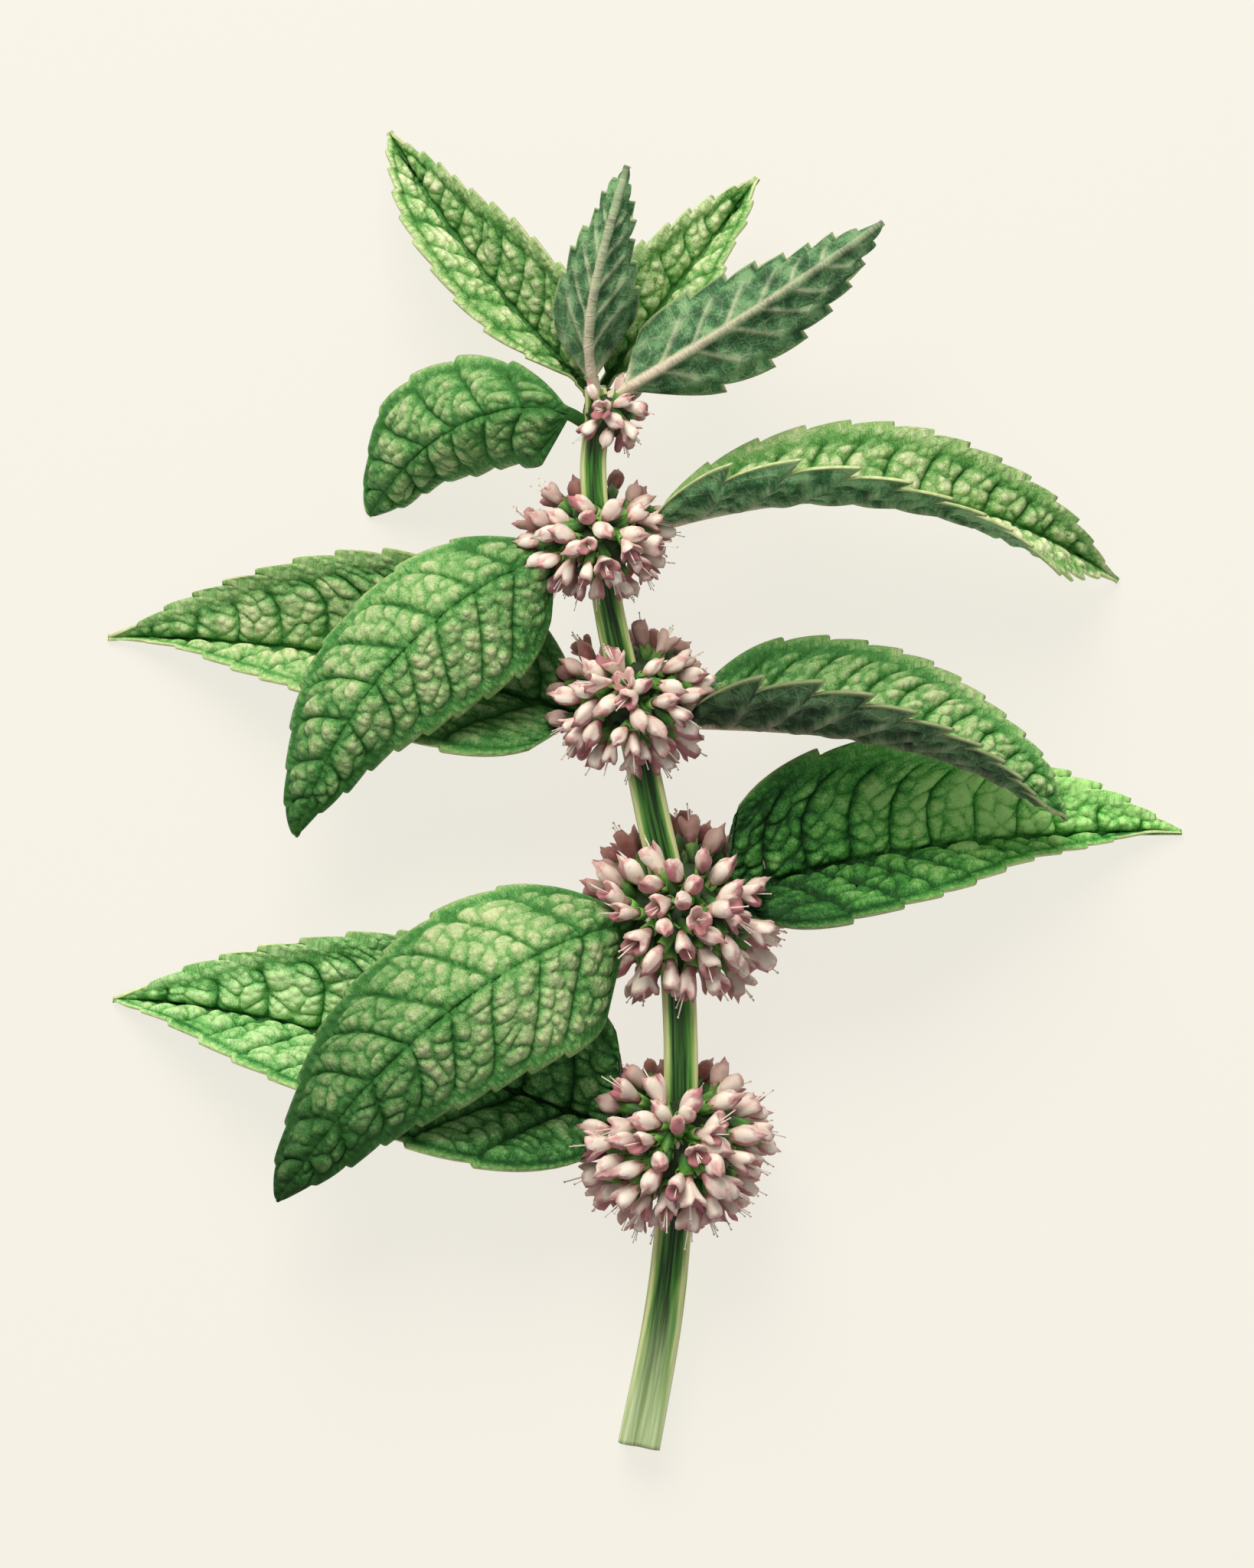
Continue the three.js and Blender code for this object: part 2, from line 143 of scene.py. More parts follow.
def living_leaf_upper(name, crease, deep, body, top):
    """Upper face of a living mint leaf: puckered, satin, with a waxy skin. Painted highlights make its
    pillow tops yellow-green, painted shade darkens its creases, veins and midrib, and the leaf's
    `light` paints more light and shade over all of it."""
    made = Finish(name, Roughness=0.55, IOR=1.42, Specular_IOR_Level=0.2)
    level, vein, rim, midrib = channels(made, "relief")
    light = channels(made, "shade")[0]
    flat = made.node("UVMap", uv_map="blade")
    # the smallest puckers, about 1.2 mm across: true to size
    puckers = made.node("TexVoronoi", feature="SMOOTH_F1", voronoi_dimensions="2D",
                        Vector=flat, Scale=0.85, Randomness=0.9, Smoothness=0.25)
    dome = made.node("MapRange", puckers, 0.05, 0.62, 1.0, 0.0, **SOFT)
    # skin cells, drawn as 0.25 mm grains because the real ones are too fine to show
    grain = made.node("TexNoise", **FLAT, Vector=flat, Scale=4.2, Detail=2.0)
    # paler and darker stretches, about 6 mm across
    patch = made.node("TexNoise", **FLAT, Vector=flat, Scale=0.16, Detail=2.0)
    # painted light and shade: the ramp runs from painted shade in the creases to a painted highlight on the
    # pillow and pucker tops, and `light` shifts it
    height = -0.93  # brings the sum's middle to the middle of the ramp
    for part, weight in ((level, 0.72), (dome, 0.16), (grain, 0.6), (patch, 0.5), (light, 0.38)):
        height = made.node("Math", part, weight, height, **TIMES_PLUS)
    paint = made.node("ValToRGB", height, stops=((0.0, crease), (0.24, deep), (0.5, body), (0.84, top)))
    # painted shade along the side veins and the midrib, and a painted highlight on the pale rim
    for mask, strength, tint in ((vein, 0.3, crease), (midrib, 0.28, crease), (rim, 0.4, "#A9BE78")):
        paint = made.node("Mix", made.node("Math", mask, strength, **TIMES), paint, tint, **PAINT)
    # painted light and shade from the leaf's `light`
    paint = made.node("VectorMath", paint, made.node("Math", light, 0.6, **POWER), **SCALED)
    relief = made.node("Math", grain, 0.35, dome, **TIMES_PLUS)
    made.shade(Base_Color=paint, Normal=made.node("Bump", Height=relief, Strength=0.8, Distance=0.3 * MM))
    return made.material


def living_leaf_under(name, dark, body, light_patch, vein_paint):
    """Under face of a mint leaf: matt, blue-green and mottled, with thin pale veins and a broader,
    pinkish midrib that fades towards the tip. The leaf's `light` paints light and shade over it, with
    painted shade in its hollows and a painted highlight on its rim."""
    made = Finish(name, Roughness=0.68, IOR=1.4)
    level, vein, rim, midrib = channels(made, "relief")
    light, along, out, _ = channels(made, "shade")
    flat = made.node("UVMap", uv_map="blade")
    # thin joining veins, about 2.4 mm apart
    net = made.node("TexVoronoi", feature="DISTANCE_TO_EDGE", voronoi_dimensions="2D",
                    Vector=flat, Scale=0.42, Randomness=0.95)
    fine = made.node("MapRange", net, 0.0, 0.07, 1.0, 0.0, **SOFT)
    # skin cells, drawn coarse as on the upper face, and mottling, about 2.5 mm across
    grain = made.node("TexNoise", **FLAT, Vector=flat, Scale=3.6, Detail=3.0)
    patch = made.node("TexNoise", **FLAT, Vector=flat, Scale=0.4, Detail=3.0)
    # the mottling is darker where the upper face's pillows leave hollows beneath: painted shade
    mottle = 0.08
    for part, weight in ((grain, 0.45), (patch, 0.85), (level, -0.2)):
        mottle = made.node("Math", part, weight, mottle, **TIMES_PLUS)
    paint = made.node("ValToRGB", mottle, stops=((0.42, dark), (0.6, body), (0.8, light_patch)))
    # painted light and shade from the leaf's `light`
    paint = made.node("VectorMath", paint, light, **SCALED)
    # the net fades in the shade, and the side veins thin out towards the margin
    lit_net = made.node("Math", fine, light, **TIMES)
    outward = made.node("Math", out, -0.6, 1.0, **TIMES_PLUS)
    side_veins = made.node("Math", made.node("Math", vein, 2.2, **POWER), outward, **TIMES)
    for mask, strength in ((lit_net, 0.33), (side_veins, 0.85)):
        patchy = made.node("Math", mask, made.node("Math", patch, strength, **TIMES), **TIMES)
        paint = made.node("Mix", patchy, paint, vein_paint, **PAINT)
    # the midrib narrows and fades towards the tip
    narrowing = made.node("Math", along, 3.2, 0.8, **TIMES_PLUS)
    fading = made.node("Math", 1.15, along, **MINUS, use_clamp=True)
    rib = made.node("Math", made.node("Math", midrib, narrowing, **POWER), fading, **TIMES)
    rib = made.node("Math", rib, made.node("Math", grain, 0.45, **PLUS), **TIMES, use_clamp=True)
    paint = made.node("Mix", rib, paint, vein_paint, **PAINT)
    # a painted highlight on the pale rim
    paint = made.node("Mix", made.node("Math", rim, 0.85, **TIMES), paint, "#A3B57C", **PAINT)
    relief = made.node("Math", grain, 0.6, fine, **TIMES_PLUS)
    made.shade(Base_Color=paint, Normal=made.node("Bump", Height=relief, Strength=0.4, Distance=0.12 * MM))
    return made.material


def leaf_margin(name):
    """The thin edge of a leaf: pale as a painted highlight, uneven over about 1 mm, and darkened by the
    leaf's `light` as painted shade.
    """
    made = Finish(name, Roughness=0.55, IOR=1.45)
    grain = made.node("TexNoise", Vector=made.node("TexCoord").outputs["Object"], Scale=900.0)
    light = channels(made, "shade")[0]
    paint = made.node("ValToRGB", grain, stops=((0.3, "#A6B873"), (0.7, "#CFD9A4")))
    # painted shade from the leaf's `light`
    made.shade(Base_Color=made.node("VectorMath", paint, made.node("Math", light, 0.8, **POWER), **SCALED))
    return made.material


def stem_skin(name):
    """Young, square mint stem: dark green grooves between pale ridges, streaked along its length."""
    made = Finish(name, Roughness=0.5, IOR=1.42)
    ridge, joint, pale, _ = channels(made, "stemmap")
    # streaks about 0.4 mm wide and 12 mm long
    stretch = made.node("Mapping", Vector=made.node("UVMap", uv_map="skin"), Scale=(2.6, 0.085, 1.0))
    streak = made.node("TexNoise", **FLAT, Vector=stretch, Scale=1.0, Detail=4.0)
    level = made.node("Math", streak, 1.3, made.node("Math", ridge, 0.546, **MINUS), **TIMES_PLUS)
    paint = made.node("ValToRGB", level,
                      stops=((0.0, "#1D3A1A"), (0.36, "#4F9038"), (0.7, "#94B460"), (1.0, "#DDE3A4")))
    paint = made.node("Mix", made.node("Math", joint, 0.45, **TIMES), paint, "#6B4A38", **PAINT)
    bleached = made.node("ValToRGB", streak, stops=((0.35, "#A5C47E"), (0.7, "#DDE8BE")))
    paint = made.node("Mix", pale, paint, bleached, **PAINT)
    made.shade(Base_Color=paint, Normal=made.node("Bump", Height=streak, Strength=0.35, Distance=0.2 * MM))
    return made.material


def stem_cut(name):
    """The cut end: pale, wet pith, grained at about 0.4 mm."""
    made = Finish(name, Roughness=0.35, IOR=1.45)
    grain = made.node("TexNoise", Vector=made.node("TexCoord").outputs["Object"], Scale=2500.0)
    made.shade(Base_Color=made.node("ValToRGB", grain, stops=((0.3, "#B9C68E"), (0.7, "#E4E8CB"))))
    return made.material


def petal(name):
    """Thin, soft petals: cream, pink at the lips, with a random pink blush, and browner as they wither.
    Painted shade makes them mauve in the folds, on the side away from the window and low on a whorl,
    and browner on a whorl's underside."""
    made = Finish(name, Roughness=0.6, IOR=1.4, Sheen_Weight=0.1)
    along, fold, wither_and_shade, shade_blush_mask = channels(made, "bloom")
    place = made.node("TexCoord").outputs["Object"]
    # flecks about 1 mm across
    fleck = made.node("TexNoise", Vector=place, Scale=900.0, Detail=3.0)
    level = made.node("Math", fleck, 0.9, made.node("Math", along, 0.45, **MINUS), **TIMES_PLUS)
    fresh = made.node("ValToRGB", level, stops=((0.12, "#B97A7C"), (0.32, "#EAC8BA"), (0.46, "#FFF3E2"),
                                                (0.84, "#FFF6E8"), (1.0, "#EDBDB6")))
    faded_and_shaded = made.node("ValToRGB", level, stops=((0.1, "#4A2622"), (0.6, "#8E564E"), (1.0, "#B08277")))
    # browner where florets wither, and on a whorl's underside as painted shade
    paint = made.node("Mix", wither_and_shade, fresh, faded_and_shaded, **PAINT)
    # blotches about 2 mm across give the mauve painted shade and blush an uneven edge
    blotch = made.node("TexNoise", Vector=place, Scale=520.0, Detail=1.0)
    shade_blush = made.node("Math", blotch, 1.3, made.node("Math", shade_blush_mask, 0.65, **MINUS), **TIMES_PLUS)
    shade_blush = made.node("MapRange", shade_blush, 0.25, 0.6, 0.0, 0.85, **SOFT)
    paint = made.node("Mix", shade_blush, paint, "#AE5C6C", **PAINT)
    # painted shade in mauve in the folds between the lobes
    paint = made.node("Mix", made.node("Math", fold, 0.6, **TIMES), paint, "#BA7C7B", **PAINT)
    made.shade(Base_Color=paint, Normal=made.node("Bump", Height=fleck, Strength=0.3, Distance=0.15 * MM))
    return made.material


def calyx(name):
    """Ribbed calyx: fresh green at its teeth, with painted shade that darkens its foot and its grooves,
    and browner where it withers and, as painted shade, on a whorl's underside.
    """
    made = Finish(name, Roughness=0.6, IOR=1.45)
    along, fold, wither_and_shade, _ = channels(made, "bloom")
    # flecks about 1 mm across
    fleck = made.node("TexNoise", Vector=made.node("TexCoord").outputs["Object"], Scale=1100.0, Detail=3.0)
    # painted shade: darker towards the foot
    level = made.node("Math", fleck, 0.5, made.node("Math", along, 0.25, **MINUS), **TIMES_PLUS)
    paint = made.node("ValToRGB", level,
                      stops=((0.1, "#1B2A14"), (0.55, "#3E7A2A"), (0.85, "#62A83E"), (1.0, "#95BE62")))
    # painted shade in the grooves, and brown where withered and where painted shade falls underneath
    for mask, tint in ((fold, "#20321A"), (wither_and_shade, "#37301F")):
        paint = made.node("Mix", made.node("Math", mask, 0.5, **TIMES), paint, tint, **PAINT)
    made.shade(Base_Color=paint, Normal=made.node("Bump", Height=fleck, Strength=0.4, Distance=0.2 * MM))
    return made.material


def thread(name):
    """Stamens and styles: fine, cream threads with pinker heads."""
    made = Finish(name, Roughness=0.5, IOR=1.45)
    along = channels(made, "bloom")[0]
    made.shade(Base_Color=made.node("ValToRGB", along,
                                    stops=((0.0, "#EBDDD2"), (0.75, "#FBF3E8"), (1.0, "#E2C3B8"))))
    return made.material


def floor_board(name):
    """Plain, pale, matt board that glows a little, so that shadows on it stay faint."""
    made = Finish(name, Roughness=0.95, IOR=1.45, Specular_IOR_Level=0.1, Base_Color="#686660",
                  Emission_Color="#FFFBF0", Emission_Strength=0.79)
    return made.material


# ------------------------------------------------------------------ pieces
AXIS_STEP = 0.004  # share of an axis over which its direction is read


def link_piece(name, bm, node, materials):
    """Makes the object, stands it for its node and lets it ride on the sprig."""
    mesh = bpy.data.meshes.new(name)
    bm.to_mesh(mesh)
    bm.free()
    for material in materials:
        mesh.materials.append(material)
    mesh.polygons.foreach_set("use_smooth", [True] * len(mesh.polygons))
    piece = bpy.data.objects.new(name, mesh)
    bpy.context.collection.objects.link(piece)
    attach(piece, "root")
    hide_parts(node)
    return piece


def unit(vectors):
    """The same directions at length 1."""
    return vectors / np.linalg.norm(vectors, axis=-1, keepdims=True)


def smooth(low, high, values):
    """0 below low, 1 above high, and a soft step between them."""
    share = np.clip((values - low) / (high - low), 0, 1)
    return share * share * (3 - 2 * share)


def bell(values, width):
    """1 where the values are 0, and soft on both sides."""
    return np.exp(-((values / width) ** 2))


# ------------------------------------------------------------------ leaves
STALK_COLUMNS = 12  # of the blade's grid
STALK_HALF_WIDTH = 0.9
TIP_HALF_WIDTH = 0.12
FOOT_SINK = 2.4  # how far a stalk runs on into what carries it
BLADE_THICK = 0.42
MESH_STEP = 0.37  # spacing of the blade's grid
LEAST_COLUMNS = 12  # of that grid, for each tooth

# teeth: what `tooth_size` scales
TOOTH_RISE = 0.9
TOOTH_REACH = 0.9  # how far it leans to the tip of the leaf, as a share of its rise
TOOTH_TIP = 0.86  # where its point stands between two side veins
TOOTH_CURVE = 0.7
TOOTH_FADE = 2.2  # teeth shrink where the half is narrower than one part in this of its full width
MARGIN_WAVE = 0.3
WAVE_TURNS = 15.0  # radians along the blade

# side veins, and the pillows and small cells between them
VEIN_BOW = 0.8  # how far they bow, as a share of their spacing
VEIN_WANDER = 0.16
VEIN_WIDTH = 0.32
FORK_WIDTH = 0.26
PILLOW_RISE = 0.75  # between two side veins
PILLOW_EDGE = 1.7  # over which it rises from a side vein
RIB_EDGE = 1.5  # over which it rises from the midrib
CELL_RISE = 0.85  # between the small veins that join the side veins
CELL_EDGE = 0.6
CELL_VEIN_EDGE = 0.8
CELL_LENGTH = 2.1
CELL_SAG = 2.2  # distance from a cell's middle at which it has lost 0.3 of its height
CELL_FILES = 2
CELL_ROWS = 12
CELL_JITTER = 0.4
RELIEF_MIDDLE = 0.4  # the share of the relief's height that lies below the blade's middle surface

# the smooth band inside the margin, in full where the half is at least HEM_FULL wide
HEM_WIDTH = 1.7
HEM_FULL = 7.0
HEM_LEAST = 0.35
HEM_RISE = 0.3
# how far up the upper face's paint ramp the hem goes, towards the painted highlight
HEM_LEVEL = 0.62
MIDRIB_DEPTH = 0.25
MIDRIB_WIDTH = (0.55, 0.3)  # at the foot and at the tip

UP = (0, 0, 1)
DOWN = (0, 0, -1)
EDGE_ON = (0, 0.95, 0.3)

# `rib` holds the midrib's control points (foot, two handles, tip), and `faces` where the upper face
# looks at the foot and at the tip. `twist` is how late it turns between them, and `opens` the share
# of the curl that goes as it turns. `stalk` is the bare share of the midrib, and `slant` how far a
# side vein comes forward to the margin for each mm outward. `light` is painted light and shade that
# runs from foot to tip, and `relief` scales the pillows. Pairs are for the left and right halves: the
# half-width, the outline's exponents, the fold up from the midrib and the curl out to the margin in
# degrees, the teeth's size, the slant with which a side vein starts, the width of the hem and, in
# `sides`, the painted light and shade of the half.
PLAIN_LEAF = dict(
    faces=(UP, UP), twist=1, opens=0, curl=(0, 0), stalk=0.06, tooth_size=(1, 1), slant=0.75,
    lean=(0.75, 0.75), relief=1, hem=(1, 1), sides=(1, 1))
LEAVES = {
    "leaf_top_left": dict(
        rib=[(-5.6, 51.9, 20.5), (-11.4, 58.2, 18.5), (-22.9, 70.2, 14), (-31.2, 85.7, 6)],
        half=(6.8, 10.6), outline=((0.9, 1.0), (0.3, 1.05)), stalk=0.02, fold=(42, 42),
        teeth=10, lean=(1.2, 0.4), relief=0.65, hem=(1, 1.3),
        light=(0.9, 1.05, 1.1, 1.1), sides=(1.12, 0.92), tone="young"),
    "leaf_top_centre": dict(
        rib=[(-4.4, 52, 28.6), (-5.9, 58.7, 33), (-4.4, 64.5, 36), (0, 79.7, 34)],
        faces=(DOWN, DOWN),
        half=(7.8, 7.6), outline=((0.25, 1.05), (0.25, 0.92)), stalk=0.02, fold=(40, 50),
        teeth=7, tooth_size=(1.3, 1.3), slant=1.3, lean=(1.3, 1.3), relief=0.3,
        light=(0.62, 0.76, 0.86, 0.9), tone="young"),
    "leaf_top_back": dict(
        rib=[(-2.4, 52.6, 21), (1.6, 59.2, 19), (8.1, 66.4, 14), (17.1, 79.4, 10)],
        half=(8.5, 7.6), outline=((0.3, 0.95), (0.3, 1.0)), stalk=0.02, fold=(30, 54),
        teeth=7, tooth_size=(1.1, 1.1), lean=(0.4, 1.2), relief=0.65, hem=(1.3, 1),
        light=(0.88, 1.07, 1.2, 1.2), tone="young"),
    "leaf_top_right": dict(
        rib=[(-0.6, 50.9, 28), (8, 55.9, 32), (18.4, 61.8, 32), (33.1, 72.8, 26)],
        faces=(DOWN, DOWN),
        half=(7.4, 7.2), outline=((0.75, 1.05), (0.35, 1.1)), stalk=0.02, fold=(30, 30),
        teeth=8, tooth_size=(1.4, 1.4), slant=1.3, lean=(1.3, 1.3), relief=0.3,
        light=(0.7, 0.82, 0.8, 0.74), tone="young"),
    "leaf_top_drooping": dict(
        rib=[(-6.6, 47.5, 27.6), (-11.8, 50.6, 30.8), (-25.8, 49.2, 22), (-33.9, 35.2, 0.6)],
        half=(8.4, 10), outline=((0.2, 0.7), (1.0, 0.9)), stalk=0.02, fold=(-20, -20), curl=(-20, -30),
        teeth=7, tooth_size=(1.1, 1.1), lean=(1.2, 1.2), relief=0.75,
        light=(0.45, 0.88, 0.98, 0.82), tone="grown"),
    "leaf_2_right": dict(
        rib=[(-0.6, 32.4, 21), (14, 37, 25), (40.7, 43.6, 26), (64.8, 26.7, 0.6)],
        faces=(EDGE_ON, (0.15, 0.1, 1)), twist=1.9, opens=0.9,
        half=(9.9, 12), outline=((0.72, 1.25), (0.62, 1.3)), fold=(37, 5), curl=(0, 70),
        teeth=14, tooth_size=(0.9, 2.9), lean=(0.4, 0.75), relief=0.9, hem=(1.4, 1),
        light=(0.8, 0.95, 0.98, 1.15), sides=(1, 1.3), tone="young"),
    "leaf_2_left": dict(
        rib=[(-6.8, 30.6, 21.6), (-18.7, 28.1, 33), (-36, 16.2, 30), (-43.1, -7, 18)],
        half=(12.7, 11.5), outline=((0.45, 1.15), (0.68, 0.8)), fold=(-10, -30), curl=(-20, -25),
        teeth=9, relief=0.85,
        light=(0.45, 1.07, 1.03, 0.4), tone="grown"),
    "leaf_3_left": dict(
        rib=[(-2.2, 8, 16), (-17.9, 11.9, 11), (-34.1, 19, 7), (-68.5, 19.4, 0.6)],
        faces=((0, 0.14, 0.99), (0, 0.37, 0.93)),
        half=(14, 16), outline=((0.45, 1.45), (0.6, 1.2)), fold=(38, 38),
        teeth=11, lean=(1.2, 0.15), relief=0.85, hem=(1, 1.6),
        light=(0.42, 0.8, 1.14, 1.18), sides=(1.15, 0.94), tone="grown"),
    "leaf_3_right": dict(
        rib=[(4.9, 8.4, 17), (18, 7.4, 22), (42.8, 8.8, 24), (57.7, -4.6, 12)],
        faces=(EDGE_ON, (0.2, 0.6, 0.7)), twist=2.6, opens=0.8,
        half=(13.9, 13.5), outline=((0.5, 1.05), (0.62, 1.15)), fold=(37, 5), curl=(0, 70),
        teeth=13, tooth_size=(0.9, 2.9), lean=(0.4, 0.75), relief=0.9, hem=(1.25, 1),
        light=(0.4, 0.8, 1.1, 1.2), sides=(1, 0.52), tone="grown"),
    "leaf_4_right": dict(
        rib=[(9.6, -16.0, 13), (25.8, -9.4, 11), (48.4, -6.1, 6), (73.2, -6.3, 0.6)],
        faces=((0, 0.24, 0.97), (0, 0.5, 0.87)),
        half=(15.3, 12.7), outline=((0.38, 1.02), (0.5, 1.65)), fold=(36, 36),
        teeth=11, tooth_size=(1.2, 1.2), lean=(0.1, 1.2), hem=(1.6, 1),
        light=(0.05, 0.64, 1.3, 1.35), sides=(1.35, 0.95), tone="deep"),
    "leaf_4_left": dict(
        rib=[(2.6, -18.1, 14.4), (-8.6, -17.6, 30), (-30.1, -30.3, 31), (-45.6, -54.5, 19)],
        half=(14, 14.4), outline=((0.26, 0.9), (0.65, 0.88)), fold=(-10, -30), curl=(-20, -20),
        teeth=9, relief=0.85,
        light=(0.5, 1.2, 0.7, 0.1), tone="grown"),
    "leaf_5_left": dict(
        rib=[(3.2, -46.9, 10), (-14, -40.8, 8), (-42.2, -29.3, 5), (-67.8, -28.3, 0.6)],
        faces=((0, 0.14, 0.99), (0, 0.37, 0.93)),
        half=(16.4, 19.2), outline=((0.5, 1.0), (0.4, 1.12)), fold=(38, 38),
        teeth=10, lean=(1.0, 0.2), hem=(1, 1.6),
        light=(0.45, 0.85, 1.27, 1.36), sides=(1.05, 1.1), tone="old"),
}


class Midrib:
    """A leaf's midrib: a cubic curve, read by share of its own length."""

    def __init__(self, controls):
        share = np.linspace(0, 1, 201)[:, None]
        a, b, c, d = np.array(controls, float)
        rest = 1 - share
        self.points = rest**3 * a + 3 * rest**2 * share * b + 3 * rest * share**2 * c + share**3 * d
        steps = np.linalg.norm(np.diff(self.points, axis=0), axis=1)
        self.travel = np.concatenate([[0], np.cumsum(steps)])
        self.length = self.travel[-1]

    def at(self, share):
        """The curve at a share of its length. Below 0 it runs straight on behind the foot."""
        place = np.clip(share, 0, 1) * self.length
        point = np.stack([np.interp(place, self.travel, self.points[:, k]) for k in range(3)], -1)
        behind = np.minimum(share, 0)[..., None] * self.length
        return point + behind * unit(self.points[1] - self.points[0])

    def heading(self, share):
        """The curve's direction at a share of its length."""
        share = np.clip(share, 0, 1)
        ahead, behind = np.minimum(share + AXIS_STEP, 1), np.maximum(share - AXIS_STEP, 0)
        return unit(self.at(ahead) - self.at(behind))


def outline_share(u, rise, fall):
    """A leaf's outline: 0 at the foot and the tip, and 1 where it is widest."""
    peak = rise / (rise + fall)
    return np.clip(u, 0, 1) ** rise * (1 - np.clip(u, 0, 1)) ** fall / (peak**rise * (1 - peak) ** fall)


def by_side(pair, right):
    """A leaf's value for its left or right half, at every point."""
    return np.where(right, pair[1], pair[0])


def swell(share):
    """The side of a pillow: steep at 0, then soft, and level at 1."""
    quarter_circle = np.sqrt(1 - (1 - np.clip(share, 0, 1)) ** 2)
    return (quarter_circle + smooth(0, 1, share)) / 2


def cells(across, along, band, width, lean, seed):
    """The small cells between two side veins, in staggered files. Gives each point's distance to the
    nearest border between cells and to its own cell's middle, in mm, and the cell's drawn strength.
    `across` runs from 0 to 1 between the veins, `along` is in mm from the midrib and `band` numbers
    the strip."""
    rng = np.random.default_rng(seed)
    draws = rng.uniform(-1, 1, (int(band.max()) + 1, CELL_FILES, CELL_ROWS + 2, 3))
    nearest = np.full(across.shape, np.inf)
    second = np.full(across.shape, np.inf)
    strength = np.zeros(across.shape)
    row = np.floor(along / CELL_LENGTH).astype(int)
    for file in range(CELL_FILES):
        for step in (-1, 0, 1):
            r = np.clip(row + step, -1, CELL_ROWS)
            draw = draws[band, file, r + 1]
            x = (file + 0.5 + CELL_JITTER * draw[..., 0]) / CELL_FILES
            y = (r + 0.5 + 0.5 * file + CELL_JITTER * draw[..., 1]) * CELL_LENGTH
            gap = np.hypot((across - x) * width + lean * (along - y), along - y)
            closer = gap < nearest
            second = np.where(closer, nearest, np.minimum(second, gap))
            strength = np.where(closer, draw[..., 2], strength)
            nearest = np.minimum(nearest, gap)
    return (second - nearest) / 2, nearest, 0.5 + 0.5 * strength


def quilting(leaf, right, column, lateral, half_here, pitch, lean, seed):
    """The relief of the blade at each point. Gives its lift, its level from 0 in a crease to 1 on a
    pillow's top, and how much the point lies on a side vein."""
    phase = column % 1.0
    band = np.minimum(column.astype(int), leaf["teeth"] - 1)
    strip = band + np.where(right, 0, leaf["teeth"])
    width = pitch / np.hypot(1, lean)
    to_vein = np.minimum(phase, 1 - phase) * width
    # the small veins that join two side veins bend, in each strip in another place
    bent = lateral + 0.5 * np.sin(phase * 5 + strip * 1.7)
    to_border, to_middle, strength = cells(phase, bent, strip, width, lean, seed)

    off_rib = swell(lateral / RIB_EDGE)
    pillow = swell(to_vein / PILLOW_EDGE)
    sag = 0.3 * (to_middle / CELL_SAG) ** 2
    dome = swell(to_border / CELL_EDGE) * np.clip(1 - sag, 0, 1) * (0.68 + 0.32 * strength)
    dome = dome * swell(to_vein / CELL_VEIN_EDGE)

    # the hem lies level, behind a seam where the pillows end
    hem = by_side(leaf["hem"], right)
    inside = (half_here - lateral) / (hem * np.clip(half_here / HEM_FULL, HEM_LEAST, 1))
    depth = smooth(0.55 * HEM_WIDTH, 1.6 * HEM_WIDTH, inside) * smooth(0.5, 3.0, half_here)
    height = off_rib * (PILLOW_RISE * pillow + CELL_RISE * dome)
    lift = leaf["relief"] * depth * (height - RELIEF_MIDDLE * (PILLOW_RISE + CELL_RISE))
    swelling = bell(inside - 0.4 * HEM_WIDTH, 0.45 * HEM_WIDTH)
    seam = bell(inside - 1.2 * HEM_WIDTH, 0.3 * HEM_WIDTH)
    lift = lift + HEM_RISE * (swelling - 0.7 * seam) * smooth(1.0, 4.0, half_here)
    # `level` sets the upper face's painted light and shade: painted shade in the creases, painted highlight
    # on the pillow tops and on the hem
    level = depth * off_rib * (0.3 * pillow + 0.7 * dome)
    hem_light = 1 - smooth(hem - 0.9, HEM_WIDTH * (0.5 + 0.5 * hem), inside)
    level = np.clip(level + HEM_LEVEL * hem_light, 0, 1)

    # a side vein, and the fork that leaves it in the outer half
    reach = lateral / np.maximum(half_here, 0.5)
    to_fork = np.abs(phase - 0.5 * smooth(0.3, 1.1, reach)) * width
    fork = bell(to_fork, FORK_WIDTH) * smooth(0.4, 0.55, reach)
    vein = np.maximum(bell(to_vein, VEIN_WIDTH), 0.7 * fork) * depth * smooth(0.0, 0.5, lateral)
    return lift, level, vein


